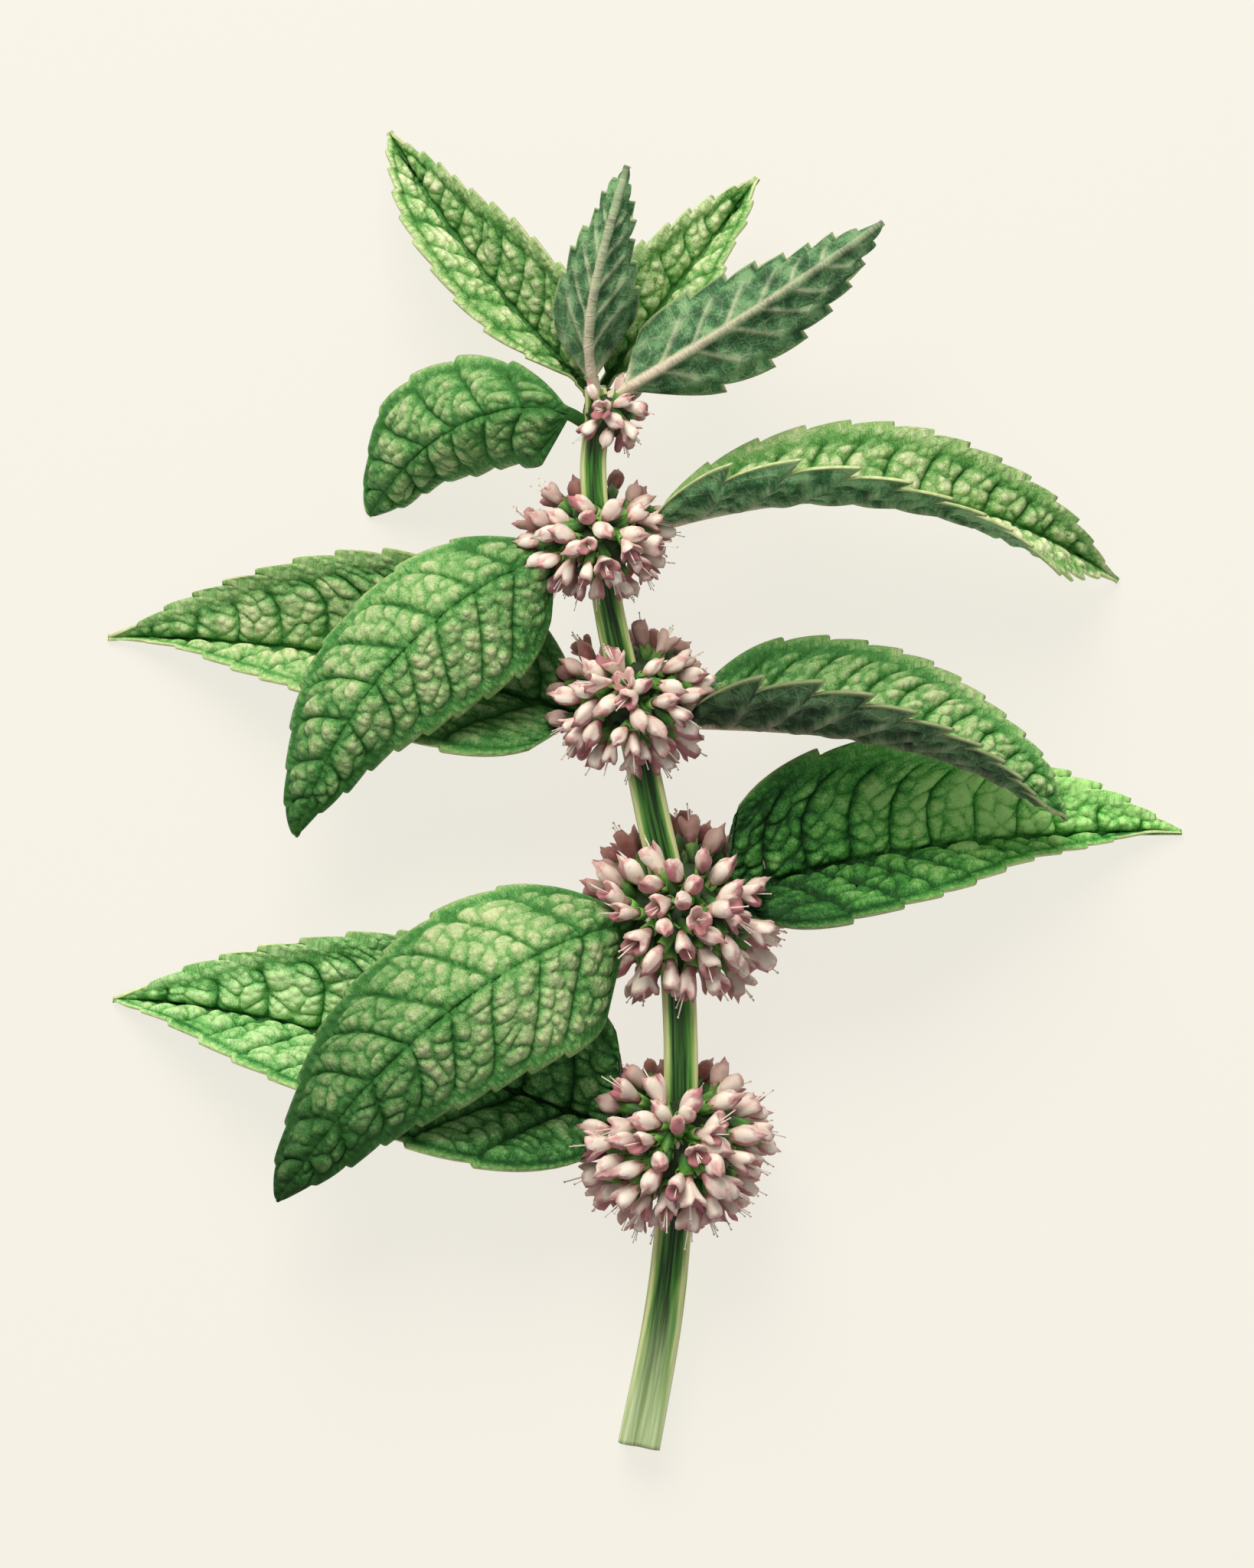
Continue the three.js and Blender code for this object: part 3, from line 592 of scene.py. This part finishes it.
def leaf_surface(leaf, u, s, seed):
    """The blade's middle surface: points, map colours and flat places, for arrays of u (-1 at the
    stalk's foot, 0 where the blade begins, 1 at the tip) and s (-1 left margin, 1 right margin)."""
    rib = Midrib(leaf["rib"])
    right = s >= 0
    out = np.abs(s)
    half = by_side(leaf["half"], right)
    rise_power = by_side([powers[0] for powers in leaf["outline"]], right)
    fall_power = by_side([powers[1] for powers in leaf["outline"]], right)
    stalk_share = leaf["stalk"]
    blade = rib.length * (1 - stalk_share)
    blade_u = np.clip(u, 0, 1)

    def half_width(share):
        return half * outline_share(share, rise_power, fall_power)

    # the grid's own columns are the veins, which bow and wander between midrib and margin
    column = blade_u * leaf["teeth"]
    sway = np.sin(column * 1.9 + np.where(right, 0.0, 1.3)) + 0.6 * np.sin(column * 4.3 + out * 5)
    shift = (VEIN_WANDER * sway - VEIN_BOW * out) * (1 - out) * np.sqrt(out) * np.sin(np.pi * blade_u) ** 0.5
    blade_u = np.clip(blade_u + shift / leaf["teeth"], 0, 1)

    # teeth lean forward and stand only at the margin
    phase = column % 1.0
    tooth = np.where(phase < TOOTH_TIP, (phase / TOOTH_TIP) ** TOOTH_CURVE, (1 - phase) / (1 - TOOTH_TIP))
    size = by_side(leaf["tooth_size"], right) * np.minimum(1, TOOTH_FADE * half_width(blade_u) / half)
    tooth_rise = TOOTH_RISE * size * tooth * out**4
    lean = by_side(leaf["lean"], right)
    forward = (lean * out + (leaf["slant"] - lean) * out**4) * half_width(blade_u)
    forward = (forward + TOOTH_REACH * tooth_rise) / blade
    share = blade_u + forward / np.hypot(1, forward / np.maximum(1 - blade_u, 1e-6))

    stalk = u < 0
    least = STALK_HALF_WIDTH + (TIP_HALF_WIDTH - STALK_HALF_WIDTH) * share
    half_here = np.maximum(half_width(share), least)
    lateral = out * np.where(stalk, STALK_HALF_WIDTH, half_here)
    along = np.where(stalk, stalk_share * (1 + u), stalk_share + (1 - stalk_share) * share)
    pitch = blade / leaf["teeth"]
    lift, level, vein = quilting(leaf, right, column, out * half_here, half_here, pitch, lean, seed)
    wave = MARGIN_WAVE * out**3 * np.sin(blade_u * WAVE_TURNS + np.where(right, 0.0, 2.0))
    lift, level, vein, wave, tooth_rise = (
        np.where(stalk, 0, values) for values in (lift, level, vein, wave, tooth_rise))
    midrib = bell(lateral, MIDRIB_WIDTH[1] + (MIDRIB_WIDTH[0] - MIDRIB_WIDTH[1]) * (1 - along))
    lift = lift + wave - MIDRIB_DEPTH * midrib

    # frame along the midrib
    centre = rib.at(along)
    ahead = rib.heading(along)
    turn = (along ** leaf["twist"])[..., None]
    face = np.array(leaf["faces"][0], float) * (1 - turn) + np.array(leaf["faces"][1], float) * turn
    normal = unit(face - (face * ahead).sum(-1, keepdims=True) * ahead)
    aside = np.cross(ahead, normal)

    # each half is folded up from the midrib by `fold` and bends on by `curl` to its margin
    fold = np.radians(by_side(leaf["fold"], right))
    curl = np.radians(by_side(leaf["curl"], right) * (1 - leaf["opens"] * turn[:, 0]) + 1e-4)
    bend = np.maximum(out, 1e-6) * curl
    flat_part = (np.sin(fold + bend) - np.sin(fold)) / bend
    high_part = (np.cos(fold) - np.cos(fold + bend)) / bend
    side = np.where(right, 1, -1)
    outward = lateral * flat_part + tooth_rise * np.cos(fold + bend)
    upward = lateral * high_part + tooth_rise * np.sin(fold + bend)
    tilt = side * (fold + bend)
    local_up = normal * np.cos(tilt)[..., None] - aside * np.sin(tilt)[..., None]
    points = centre + aside * (side * outward)[..., None] + normal * upward[..., None]
    points = points + local_up * lift[..., None]

    # the margin's pale rim, painted as a highlight
    rim = smooth(0.95, 1.0, out)
    relief = np.stack([level, vein, rim, np.where(stalk, 0.8, midrib)], -1)
    # painted light and shade: each leaf lighter and darker from foot to tip, and each half scaled by `sides`
    light = np.interp(along, (0, 0.3, 0.6, 1), leaf["light"]) * by_side(leaf["sides"], right)
    shade = np.stack([light, np.clip(along, 0, 1), out, np.ones_like(out)], -1)
    places = np.stack([share * blade, side * lateral], -1)
    return points, relief, shade, places


def make_leaf(name, leaf, seed, upper, under, margin):
    """A grid moved onto the blade's surface, given its thickness by a modifier."""
    length = Midrib(leaf["rib"]).length
    pitch = length * (1 - leaf["stalk"]) / leaf["teeth"]
    stalk = 1 + FOOT_SINK / (length * leaf["stalk"])
    blade_columns = leaf["teeth"] * max(LEAST_COLUMNS, round(pitch / MESH_STEP))
    columns = STALK_COLUMNS + blade_columns
    rows = 2 * round(max(leaf["half"]) / MESH_STEP)
    bm = bmesh.new()
    bmesh.ops.create_grid(bm, x_segments=columns, y_segments=rows, size=1.0)
    grid = np.array([vertex.co[:2] for vertex in bm.verts])
    column = (grid[:, 0] + 1) / 2 * columns
    on_blade = (column - STALK_COLUMNS) / blade_columns
    u = np.minimum(np.where(on_blade < 0, stalk * (column / STALK_COLUMNS - 1), on_blade), 0.9995)
    points, relief, shade, places = leaf_surface(leaf, u, -grid[:, 1], seed)
    relief_layer = bm.verts.layers.float_color.new("relief")
    shade_layer = bm.verts.layers.float_color.new("shade")
    for index, vertex in enumerate(bm.verts):
        vertex.co = to_frame(points[index])
        vertex[relief_layer] = relief[index]
        vertex[shade_layer] = shade[index]
    flat = bm.loops.layers.uv.new("blade")
    for polygon in bm.faces:
        for loop in polygon.loops:
            loop[flat].uv = places[loop.vert.index]
    piece = link_piece(name + "_blade", bm, name, [upper, under, margin])
    wall = piece.modifiers.new("thickness", "SOLIDIFY")
    wall.thickness = BLADE_THICK * MM
    wall.offset = 0.0
    wall.material_offset = 1
    wall.material_offset_rim = 2
    return piece


# ------------------------------------------------------------------ stem
STEM = [  # a point of the axis, and the width across the flats there
    ((1.6, -87.0, 2.73), 5.3), ((4.5, -71.6, 4.6), 4.9), ((5.9, -60.0, 7.8), 4.6),
    ((6.8, -47.6, 11.2), 4.4), ((7.0, -33.0, 13.2), 4.2), ((5.9, -16.6, 14.6), 4.3),
    ((3.1, -3.0, 16.4), 4.2), ((0.2, 11.0, 18.6), 4.0), ((-2.2, 21.8, 20.6), 3.7),
    ((-3.7, 31.8, 22.6), 3.4), ((-4.4, 41.0, 24.2), 3.2), ((-3.8, 47.6, 25.4), 3.0),
    ((-4.1, 51.4, 26.2), 2.6),
]
STEM_LENGTHS, STEM_ROUNDS = 300, 56  # faces of its grid, along it and round it
CUT_TRIM = 0.0006  # share of the axis left off, so that the cut end stays inside the solid's box
STEM_JOINTS = [-47.6, -16.6, 11.0, 31.8, 47.6]  # heights y of the whorls
JOINT_SWELL = 0.25
JOINT_REACH = 2.6
# radius as shares of the width: in the middle of a side, more at the corners, and fine ridges
FLAT_RADIUS = 0.445
CORNER_RIDGE = 0.17
CORNER_ROUND = 0.06
FLUTE_RISE = 0.012
FLUTES = 16
PALE_FROM, PALE_TO = -64, -86  # the y over which the skin bleaches towards the cut
PALE_MOST = 0.9
SKIN_LENGTH = 150.0  # the skin map's length and its width for each radian, in mm
SKIN_WIDTH = 2.4
CUT_RIM = 0.45
CUT_HOLLOW = 0.05
STEM_LEAST_HEIGHT = 0.02  # over the floor


def stem_axis(share):
    """A smooth curve through the stem's points, read by share from the cut end to the top."""
    knots = np.array([point for point, _ in STEM])
    place = np.clip(share, 0, 1) * (len(knots) - 1)
    start = np.minimum(place.astype(int), len(knots) - 2)
    t = (place - start)[:, None]
    padded_knots = np.vstack([2 * knots[0] - knots[1], knots, 2 * knots[-1] - knots[-2]])
    p0, p1, p2, p3 = (padded_knots[start + k] for k in range(4))
    return 0.5 * (2 * p1 + (p2 - p0) * t + (2 * p0 - 5 * p1 + 4 * p2 - p3) * t**2
                  + (3 * p1 - p0 - 3 * p2 + p3) * t**3)


def make_stem(skin, cut):
    """A grid rolled into a square tube with ridged corners and grooved sides, its ends closed."""
    bm = bmesh.new()
    bmesh.ops.create_grid(bm, x_segments=STEM_LENGTHS, y_segments=STEM_ROUNDS, size=1.0)
    grid = np.array([vertex.co[:2] for vertex in bm.verts])
    share = CUT_TRIM + (1 - CUT_TRIM) * (grid[:, 0] + 1) / 2
    angle = (grid[:, 1] + 1) * math.pi
    axis = stem_axis(share)
    nearer, farther = (stem_axis(np.clip(share + step, 0, 1)) for step in (-AXIS_STEP, AXIS_STEP))
    ahead = unit(farther - nearer)
    aside = unit(np.cross(ahead, np.array([0.0, 0.0, 1.0])))
    up = np.cross(aside, ahead)
    width = np.interp(axis[:, 1], [point[1] for point, _ in STEM], [across for _, across in STEM])
    squareness = np.abs(np.sin(2 * angle))  # 1 at the corners, 0 in the middle of each side
    corner = squareness**3
    joint = sum(bell(axis[:, 1] - y, JOINT_REACH) for y in STEM_JOINTS)
    flute = FLUTE_RISE * np.sin(angle * FLUTES)
    radius = width * (FLAT_RADIUS + CORNER_RIDGE * corner + CORNER_ROUND * squareness + flute)
    radius = radius + JOINT_SWELL * joint
    points = axis + aside * (radius * np.sin(angle))[:, None] + up * (radius * np.cos(angle))[:, None]
    points[:, 2] = np.maximum(points[:, 2], STEM_LEAST_HEIGHT)
    pale = PALE_MOST * smooth(PALE_FROM, PALE_TO, axis[:, 1])
    layer = bm.verts.layers.float_color.new("stemmap")
    for index, vertex in enumerate(bm.verts):
        vertex.co = to_frame(points[index])
        vertex[layer] = (corner[index] ** 3, min(1, joint[index]), pale[index], 1)
    flat = bm.loops.layers.uv.new("skin")
    for polygon in bm.faces:
        for loop in polygon.loops:
            index = loop.vert.index
            loop[flat].uv = (SKIN_WIDTH * angle[index], SKIN_LENGTH * share[index])
    bmesh.ops.remove_doubles(bm, verts=bm.verts, dist=1e-7)
    ends = bmesh.ops.holes_fill(bm, edges=[e for e in bm.edges if e.is_boundary], sides=0)["faces"]
    for end in ends:
        end.material_index = 1
    bmesh.ops.inset_region(bm, faces=ends, thickness=CUT_RIM * MM, depth=-CUT_HOLLOW * MM)
    bmesh.ops.recalc_face_normals(bm, faces=bm.faces)
    return link_piece("stem_skin", bm, "stem", [skin, cut])


# ------------------------------------------------------------------ whorls
WHORLS = {
    "whorl_1": dict(at=(-2.6, 48.0, 25.4), across=5.4, along=5.4, florets=23, lean=20, scale=0.69),
    "whorl_2": dict(at=(-4.2, 32.2, 22.4), across=10.0, along=8.0, florets=66, lean=28, scale=0.83),
    "whorl_3": dict(at=(0.6, 11.0, 18.4), across=10.8, along=9.6, florets=80, lean=28, scale=0.88),
    "whorl_4": dict(at=(7.0, -16.8, 12.6), across=13.6, along=12.4, florets=104, lean=26, scale=0.98),
    "whorl_5": dict(at=(6.2, -47.2, 10.9), across=13.0, along=11.8, florets=102, lean=22, scale=0.96),
}
GOLDEN_ANGLE = math.pi * (3 - math.sqrt(5))
CORE_SHARE = 0.58
CORE_BUMPS = 0.09
CORE_BUMP_TURNS = (13, 15, 14)
CORE_BLOOM = (0.2, 0.4, 0.3, 1)  # its place in the calyx's colours: height, fold, and withering with shade; low and dark, as painted shade
ROOT_SHARE = 0.3  # how far the point that the florets spring from lies up and along, in a whorl's sizes
FLORET_LENGTH = 4.4  # from the foot of the petals to the tip, before `scale`
FLORET_SCALES = (0.84, 1.14)
FLORET_REACH = (0.9, 1.03)
FLORET_ROOM = 0.9  # to the leaves and the stem
CLEAR_AT = (0.35, 0.65, 1.0)  # shares of its line at which that room is tested
LEAST_HEIGHT = 0.05  # over the floor: what would lie lower is pressed flat
PLACE_DRIFT = 0.08  # how far a floret strays from its even place, and its aim from the middle
AIM_DRIFT = 0.32
FILLER_REACH = (0.74, 0.86)
FILLERS = 60  # closed green buds between the florets, for each hundred of them
AXIAL_MOST = 0.95  # no floret stands nearer to the whorl's own poles
POLE_RING = 0.36
UPPER_KINDS = (5, 3, 2, 3, 5)  # how often each floret template is drawn
LOWER_KINDS = (1, 4, 5, 4, 1)  # where more of them are open: on the side of the cut end
LOWER_FROM = -0.3  # along a whorl's axis, from -1 to 1 at the young leaves' side

# outlines turned about a floret's axis: radius and height from the foot of its petals, in mm, and
# whether the point is inside the mouth
BUD = [(0, -0.3, 0), (0.5, 0, 0), (0.85, 0.8, 0), (1.25, 1.7, 0), (1.5, 2.7, 0), (1.45, 3.5, 0),
       (1.1, 4.15, 0), (0.55, 4.5, 0), (0, 4.6, 0)]
PARTED = [(0, -0.3, 0), (0.5, 0, 0), (0.8, 0.9, 0), (1.2, 1.9, 0), (1.55, 2.9, 0), (1.75, 3.8, 0),
          (1.55, 4.6, 0), (1.15, 4.3, 1), (0.7, 3.4, 1), (0.3, 2.7, 1), (0, 2.5, 1)]
OPEN = [(0, -0.3, 0), (0.5, 0, 0), (0.7, 0.9, 0), (1.05, 1.9, 0), (1.5, 2.9, 0), (2.1, 3.8, 0),
        (2.2, 4.4, 0), (1.6, 4.0, 1), (0.85, 3.0, 1), (0.4, 2.2, 1), (0, 1.9, 1)]
GREEN_BUD = [(0, -0.3, 0), (0.4, 0, 0), (0.6, 0.5, 0), (0.5, 1.1, 0), (0, 1.5, 0)]
CALYX = [(0, -3.0, 0), (0.4, -2.9, 0), (0.75, -2.0, 0), (0.9, -0.8, 0), (0.98, 0.3, 0), (0.84, 0.25, 1),
         (0, -0.6, 1)]
CALYX_SKIN, THREAD = 1, 2  # places in a whorl's list of materials, which begins with the petals'
PETAL_FLATNESS = 0.84
LOBE_SHAPE = 0.35  # the power that makes a lobe broad and the cut beside it narrow
LOBE_DEPTH = 1.6
LOBE_NARROWING = 0.5
CALYX_STEPS = 10
CALYX_RIBS = 5
CALYX_GROOVE = 0.93  # its radius in a groove, as a share of the outline's, and what a rib adds
CALYX_RIB = 0.1
CALYX_TOOTH = 1.1
CALYX_TOOTH_FROM = 0.9  # share of its height
THREAD_FOOT = 2.0
THREAD_LENGTHS = (3.6, 4.8)
THREAD_LEANS = (0.06, 0.3)  # radians
THREAD_RADII = (0.14, 0.08)
THREAD_HEAD = 0.16
SHAFT_SHARE = 0.8  # of a thread's colours, from its foot to its head
SUNWARD = Vector((-0.15, 0.68, 0.72))  # to the window light
SHADED_SIDE_DEPTH = 1.1  # the distance from a floret's axis at which the painted shade on its side away from the window is full
SHADE_BLUSH_BASE = 0.3
BLUSH_SPREAD = (-0.25, 0.3)
SHADE_BLUSH_BENEATH = 0.4  # painted shade, added on a whorl's underside and towards the cut end
SHADE_BLUSH_BELOW = 0.9
WITHER_AND_SHADE_BASE = 0.15
WITHER_AND_SHADE_SPREAD = (0, 0.12)
SHADE_BROWNING_BENEATH = 1.1  # added on a whorl's underside as painted shade, and towards the young leaves and to the left as withering
AGE_ABOVE = 0.7
AGE_LEFT = 0.25


def turned(bm, bloom, outline, steps):
    """Spins an outline about Z and closes its seam and poles. Gives back the new vertices, whose
    bloom colour holds the share of the height and whether they are inside the mouth."""
    first = len(bm.verts)
    low, top = (pick(height for _, height, _ in outline) for pick in (min, max))
    points = []
    for radius, height, inner in outline:
        point = bm.verts.new((radius * MM, 0, height * MM))
        point[bloom] = ((height - low) / (top - low), inner, 0, 1)
        points.append(point)
    edges = [bm.edges.new(pair) for pair in zip(points, points[1:])]
    bmesh.ops.spin(bm, geom=points + edges, cent=(0, 0, 0), axis=(0, 0, 1), angle=2 * math.pi,
                   steps=steps, use_merge=True)
    bm.verts.ensure_lookup_table()
    bmesh.ops.remove_doubles(bm, verts=bm.verts[first:], dist=1e-6)
    bm.verts.ensure_lookup_table()
    return bm.verts[first:]


def give_material(bm, first, place):
    """Gives every face from the one numbered `first` on a place in the list of materials."""
    bm.faces.ensure_lookup_table()
    for polygon in bm.faces[first:]:
        polygon.material_index = place


def floret_template(outline, steps, lobes, notch, stamens, seed):
    """One floret as a mesh: lobed petals in a toothed calyx, with threads if it is open."""
    rng = random.Random(seed)
    bm = bmesh.new()
    bloom = bm.verts.layers.float_color.new("bloom")
    for vertex in turned(bm, bloom, outline, steps):
        share, inner, _, _ = vertex[bloom]
        angle = math.atan2(vertex.co.y, vertex.co.x)
        lobe = abs(math.cos(lobes * angle / 2)) ** LOBE_SHAPE
        cut = notch * (1 - lobe) * share**2
        vertex.co.x *= 1 - LOBE_NARROWING * cut
        vertex.co.y *= (1 - LOBE_NARROWING * cut) * PETAL_FLATNESS
        vertex.co.z -= cut * LOBE_DEPTH * MM
        vertex[bloom] = (share, max(inner, (1 - lobe) * share), 0, 1)
    petals = len(bm.faces)
    for vertex in turned(bm, bloom, CALYX, CALYX_STEPS):
        share, inner, _, _ = vertex[bloom]
        rib = 0.5 + 0.5 * math.cos(CALYX_RIBS * math.atan2(vertex.co.y, vertex.co.x))
        vertex.co.x *= CALYX_GROOVE + CALYX_RIB * rib
        vertex.co.y *= CALYX_GROOVE + CALYX_RIB * rib
        if share > CALYX_TOOTH_FROM:
            vertex.co.z += CALYX_TOOTH * rib * MM
        vertex[bloom] = (share, 1 - rib, 0, 1)
    give_material(bm, petals, CALYX_SKIN)
    with_calyx = len(bm.faces)
    for _ in range(stamens):
        add_thread(bm, bloom, rng)
    give_material(bm, with_calyx, THREAD)
    bmesh.ops.recalc_face_normals(bm, faces=bm.faces)
    mesh = bpy.data.meshes.new("floret")
    bm.to_mesh(mesh)
    bm.free()
    return mesh


def add_thread(bm, bloom, rng):
    """A stamen or style: a fine tapered thread with a small head."""
    length = rng.uniform(*THREAD_LENGTHS)
    spin = Quaternion((0, 0, 1), rng.uniform(0, 2 * math.pi))
    lean = spin @ Quaternion((1, 0, 0), rng.uniform(*THREAD_LEANS))
    low, high = THREAD_RADII
    shaft = bmesh.ops.create_cone(bm, cap_ends=True, segments=4, radius1=low * MM, radius2=high * MM,
                                  depth=length * MM)["verts"]
    head = bmesh.ops.create_icosphere(bm, subdivisions=1, radius=THREAD_HEAD * MM)["verts"]
    for vertex in shaft:
        vertex.co.z += length / 2 * MM
        vertex[bloom] = (vertex.co.z / (length * MM) * SHAFT_SHARE, 0, 0, 1)
    for vertex in head:
        vertex.co.z += length * MM
        vertex[bloom] = (1, 0, 0, 1)
    for vertex in shaft + head:
        vertex.co = Vector((0, 0, THREAD_FOOT * MM)) + lean @ vertex.co


def clear_of(tip, foot, trees, room):
    """Whether a floret's line stays clear of the leaves and the stem."""
    for share in CLEAR_AT:
        point = foot.lerp(tip, share)
        for tree in trees:
            if tree.find_nearest(point, room)[0] is not None:
                return False
    return True


def add_core(bm, bloom, centre, lean, size):
    """The whorl's green heart: a lumpy ball that closes the gaps between the florets."""
    core = bmesh.ops.create_icosphere(bm, subdivisions=4, radius=1.0)["verts"]
    for vertex in core:
        bump = math.prod(math.sin(part * turns) for part, turns in zip(vertex.co, CORE_BUMP_TURNS))
        shaped = vertex.co * size * CORE_SHARE * (1 + CORE_BUMPS * bump)
        vertex.co = centre + lean @ shaped
        vertex[bloom] = CORE_BLOOM
    give_material(bm, 0, CALYX_SKIN)


def drift(rng, most):
    """A small step off a direction, the same every time for a seed."""
    return Vector([rng.uniform(-most, most) for _ in range(3)])


def make_whorl(name, whorl, templates, leaf_tree, stem_tree, materials, seed):
    """Florets all round a green core, as many as fit between the stem and the leaves' feet."""
    rng = random.Random(seed)
    centre = to_frame(whorl["at"])
    lean = Quaternion((1, 0, 0), math.radians(whorl["lean"]))
    size = Vector((whorl["across"], whorl["along"], whorl["across"])) * MM
    bm = bmesh.new()
    bloom = bm.verts.layers.float_color.new("bloom")
    add_core(bm, bloom, centre, lean, size)
    root = centre + lean @ Vector((0, ROOT_SHARE * size.y, ROOT_SHARE * size.z))
    for index in range(whorl["florets"] + whorl["florets"] * FILLERS // 100):
        filler = index >= whorl["florets"]
        k = rng.uniform(0, whorl["florets"] - 1) if filler else index
        axial = AXIAL_MOST * (1 - 2 * (k + 0.5) / whorl["florets"])
        ring = math.sqrt(1 - axial * axial)
        angle = k * GOLDEN_ANGLE
        direction = Vector((ring * math.cos(angle), axial, ring * math.sin(angle)))
        direction = (direction + drift(rng, PLACE_DRIFT)).normalized()
        reach = rng.uniform(*(FILLER_REACH if filler else FLORET_REACH))
        tip = centre + lean @ (direction * size) * reach
        weights = LOWER_KINDS if direction.y < LOWER_FROM else UPPER_KINDS
        kind = len(templates) - 1 if filler else rng.choices(range(5), weights=weights)[0]
        scale = whorl["scale"] * rng.uniform(*FLORET_SCALES)
        aim = ((tip - root).normalized() + drift(rng, AIM_DRIFT)).normalized()
        foot = tip - aim * FLORET_LENGTH * MM * scale
        if ring < POLE_RING or not clear_of(tip, foot, (leaf_tree, stem_tree), FLORET_ROOM * MM * scale):
            continue
        add_floret(bm, bloom, templates[kind], foot, aim, scale, (tip - centre).normalized(), rng)
    return link_piece(name + "_florets", bm, name, materials)


def add_floret(bm, bloom, template, foot, aim, scale, outward, rng):
    """Puts one floret in place. Those towards the young leaves and to the left are browner, withered,
    and those underneath browner as painted shade. Painted shade makes those underneath and towards
    the cut end more mauve, most on the side away from the window."""
    first = len(bm.verts)
    bm.from_mesh(template)
    bm.verts.ensure_lookup_table()
    turn = Vector((0, 0, 1)).rotation_difference(aim) @ Quaternion((0, 0, 1), rng.uniform(0, 2 * math.pi))
    wither_and_shade = WITHER_AND_SHADE_BASE - outward.z * SHADE_BROWNING_BENEATH + max(0.0, outward.y) * AGE_ABOVE - outward.x * AGE_LEFT
    wither_and_shade = min(1.0, max(0.0, wither_and_shade) + rng.uniform(*WITHER_AND_SHADE_SPREAD))
    shade_blush = rng.uniform(*BLUSH_SPREAD) - SHADE_BLUSH_BENEATH * min(0.0, outward.z + 0.2)
    shade_blush = shade_blush - SHADE_BLUSH_BELOW * min(0.0, outward.y + 0.3)
    for vertex in bm.verts[first:]:
        sideways = turn @ Vector((vertex.co.x, vertex.co.y, 0))
        shade_blush_mask = min(1.0, max(0.0, SHADE_BLUSH_BASE + shade_blush - sideways.dot(SUNWARD) / (SHADED_SIDE_DEPTH * MM)))
        vertex.co = foot + turn @ (vertex.co * scale)
        vertex.co.z = max(vertex.co.z, LEAST_HEIGHT * MM)
        red, green, _, _ = vertex[bloom]
        vertex[bloom] = (red, green, wither_and_shade, shade_blush_mask)


def tree_of(pieces):
    """A search tree over the surfaces of some pieces."""
    points, faces = [], []
    for piece in pieces:
        start = len(points)
        points += [vertex.co for vertex in piece.data.vertices]
        faces += [[start + k for k in polygon.vertices] for polygon in piece.data.polygons]
    return BVHTree.FromPolygons(points, faces)


# ------------------------------------------------------------------ the sprig
# painted shade in the creases and painted highlight on the pillow tops; deep is a copy of old with greener
# tops, made for leaf_4_right, whose upper half lies in shade
TONES = {  # crease, deep, body and pillow top
    "young": ("#3B7234", "#5B984B", "#99BC77", "#DEE4B8"),
    "grown": ("#3A7633", "#4F9148", "#87B56C", "#CBD6A2"),
    "deep": ("#265427", "#3A7C38", "#60B050", "#A9DA84"),
    "old": ("#265427", "#3A7838", "#68AA5A", "#B9DA9A"),
}
upper_skins = {tone: living_leaf_upper("mint leaf upper, " + tone, *tints) for tone, tints in TONES.items()}
under_skin = living_leaf_under("mint leaf under face", "#25522C", "#457B4B", "#80B078", "#EBDBC2")
margin_skin = leaf_margin("mint leaf margin")
leaf_pieces = [
    make_leaf(name, {**PLAIN_LEAF, **leaf}, seed, upper_skins[leaf["tone"]], under_skin, margin_skin)
    for seed, (name, leaf) in enumerate(LEAVES.items(), start=11)
]
stem_piece = make_stem(stem_skin("mint stem skin"), stem_cut("mint stem pith"))

floret_materials = [petal("mint petal"), calyx("mint calyx"), thread("mint stamen")]
floret_templates = [  # outline, steps round, lobes, how deep they are cut, threads and seed
    floret_template(BUD, 12, 3, 0.3, 0, 1),
    floret_template(PARTED, 12, 3, 0.7, 2, 2),
    floret_template(OPEN, 16, 4, 0.6, 3, 3),
    floret_template(PARTED, 12, 2, 0.8, 1, 4),
    floret_template(BUD, 12, 2, 0.5, 0, 5),
    floret_template(GREEN_BUD, 10, 5, 0.2, 0, 6),
]
leaf_tree = tree_of(leaf_pieces)
stem_tree = tree_of([stem_piece])
for seed, (name, whorl) in enumerate(WHORLS.items(), start=31):
    make_whorl(name, whorl, floret_templates, leaf_tree, stem_tree, floret_materials, seed)
for template in floret_templates:
    bpy.data.meshes.remove(template)


# ------------------------------------------------------------------ floor and light
FLOOR_HALF = 2.0  # metres


def make_floor():
    """A wide board under the sprig, which takes its shadow."""
    bm = bmesh.new()
    bmesh.ops.create_grid(bm, x_segments=1, y_segments=1, size=FLOOR_HALF)
    mesh = bpy.data.meshes.new("floor")
    bm.to_mesh(mesh)
    bm.free()
    mesh.materials.append(floor_board("pale board"))
    floor = bpy.data.objects.new("floor", mesh)
    bpy.context.collection.objects.link(floor)


def add_light(name, place, width, watts, tint):
    """A soft square light, aimed at the middle of the sprig. Its place and width are in metres."""
    data = bpy.data.lights.new(name, "AREA")
    data.size = width
    data.energy = watts
    data.color = colour(tint)[:3]
    light = bpy.data.objects.new(name, data)
    light.location = place
    light.rotation_mode = "QUATERNION"
    light.rotation_quaternion = Vector(place).to_track_quat("Z", "Y")
    bpy.context.collection.objects.link(light)


make_floor()
add_light("window", (-0.2, 0.8, 0.8), 0.7, 14.0, "#FFFBF3")
add_light("fill", (0.4, -0.5, 1.1), 1.0, 1.0, "#F4F7FF")
world = bpy.data.worlds.new("studio")
world.use_nodes = True
sky = world.node_tree.nodes["Background"]
sky.inputs["Color"].default_value = colour("#FFFCF6")
sky.inputs["Strength"].default_value = 0.28
bpy.context.scene.world = world
bpy.context.scene.view_settings.view_transform = "Standard"
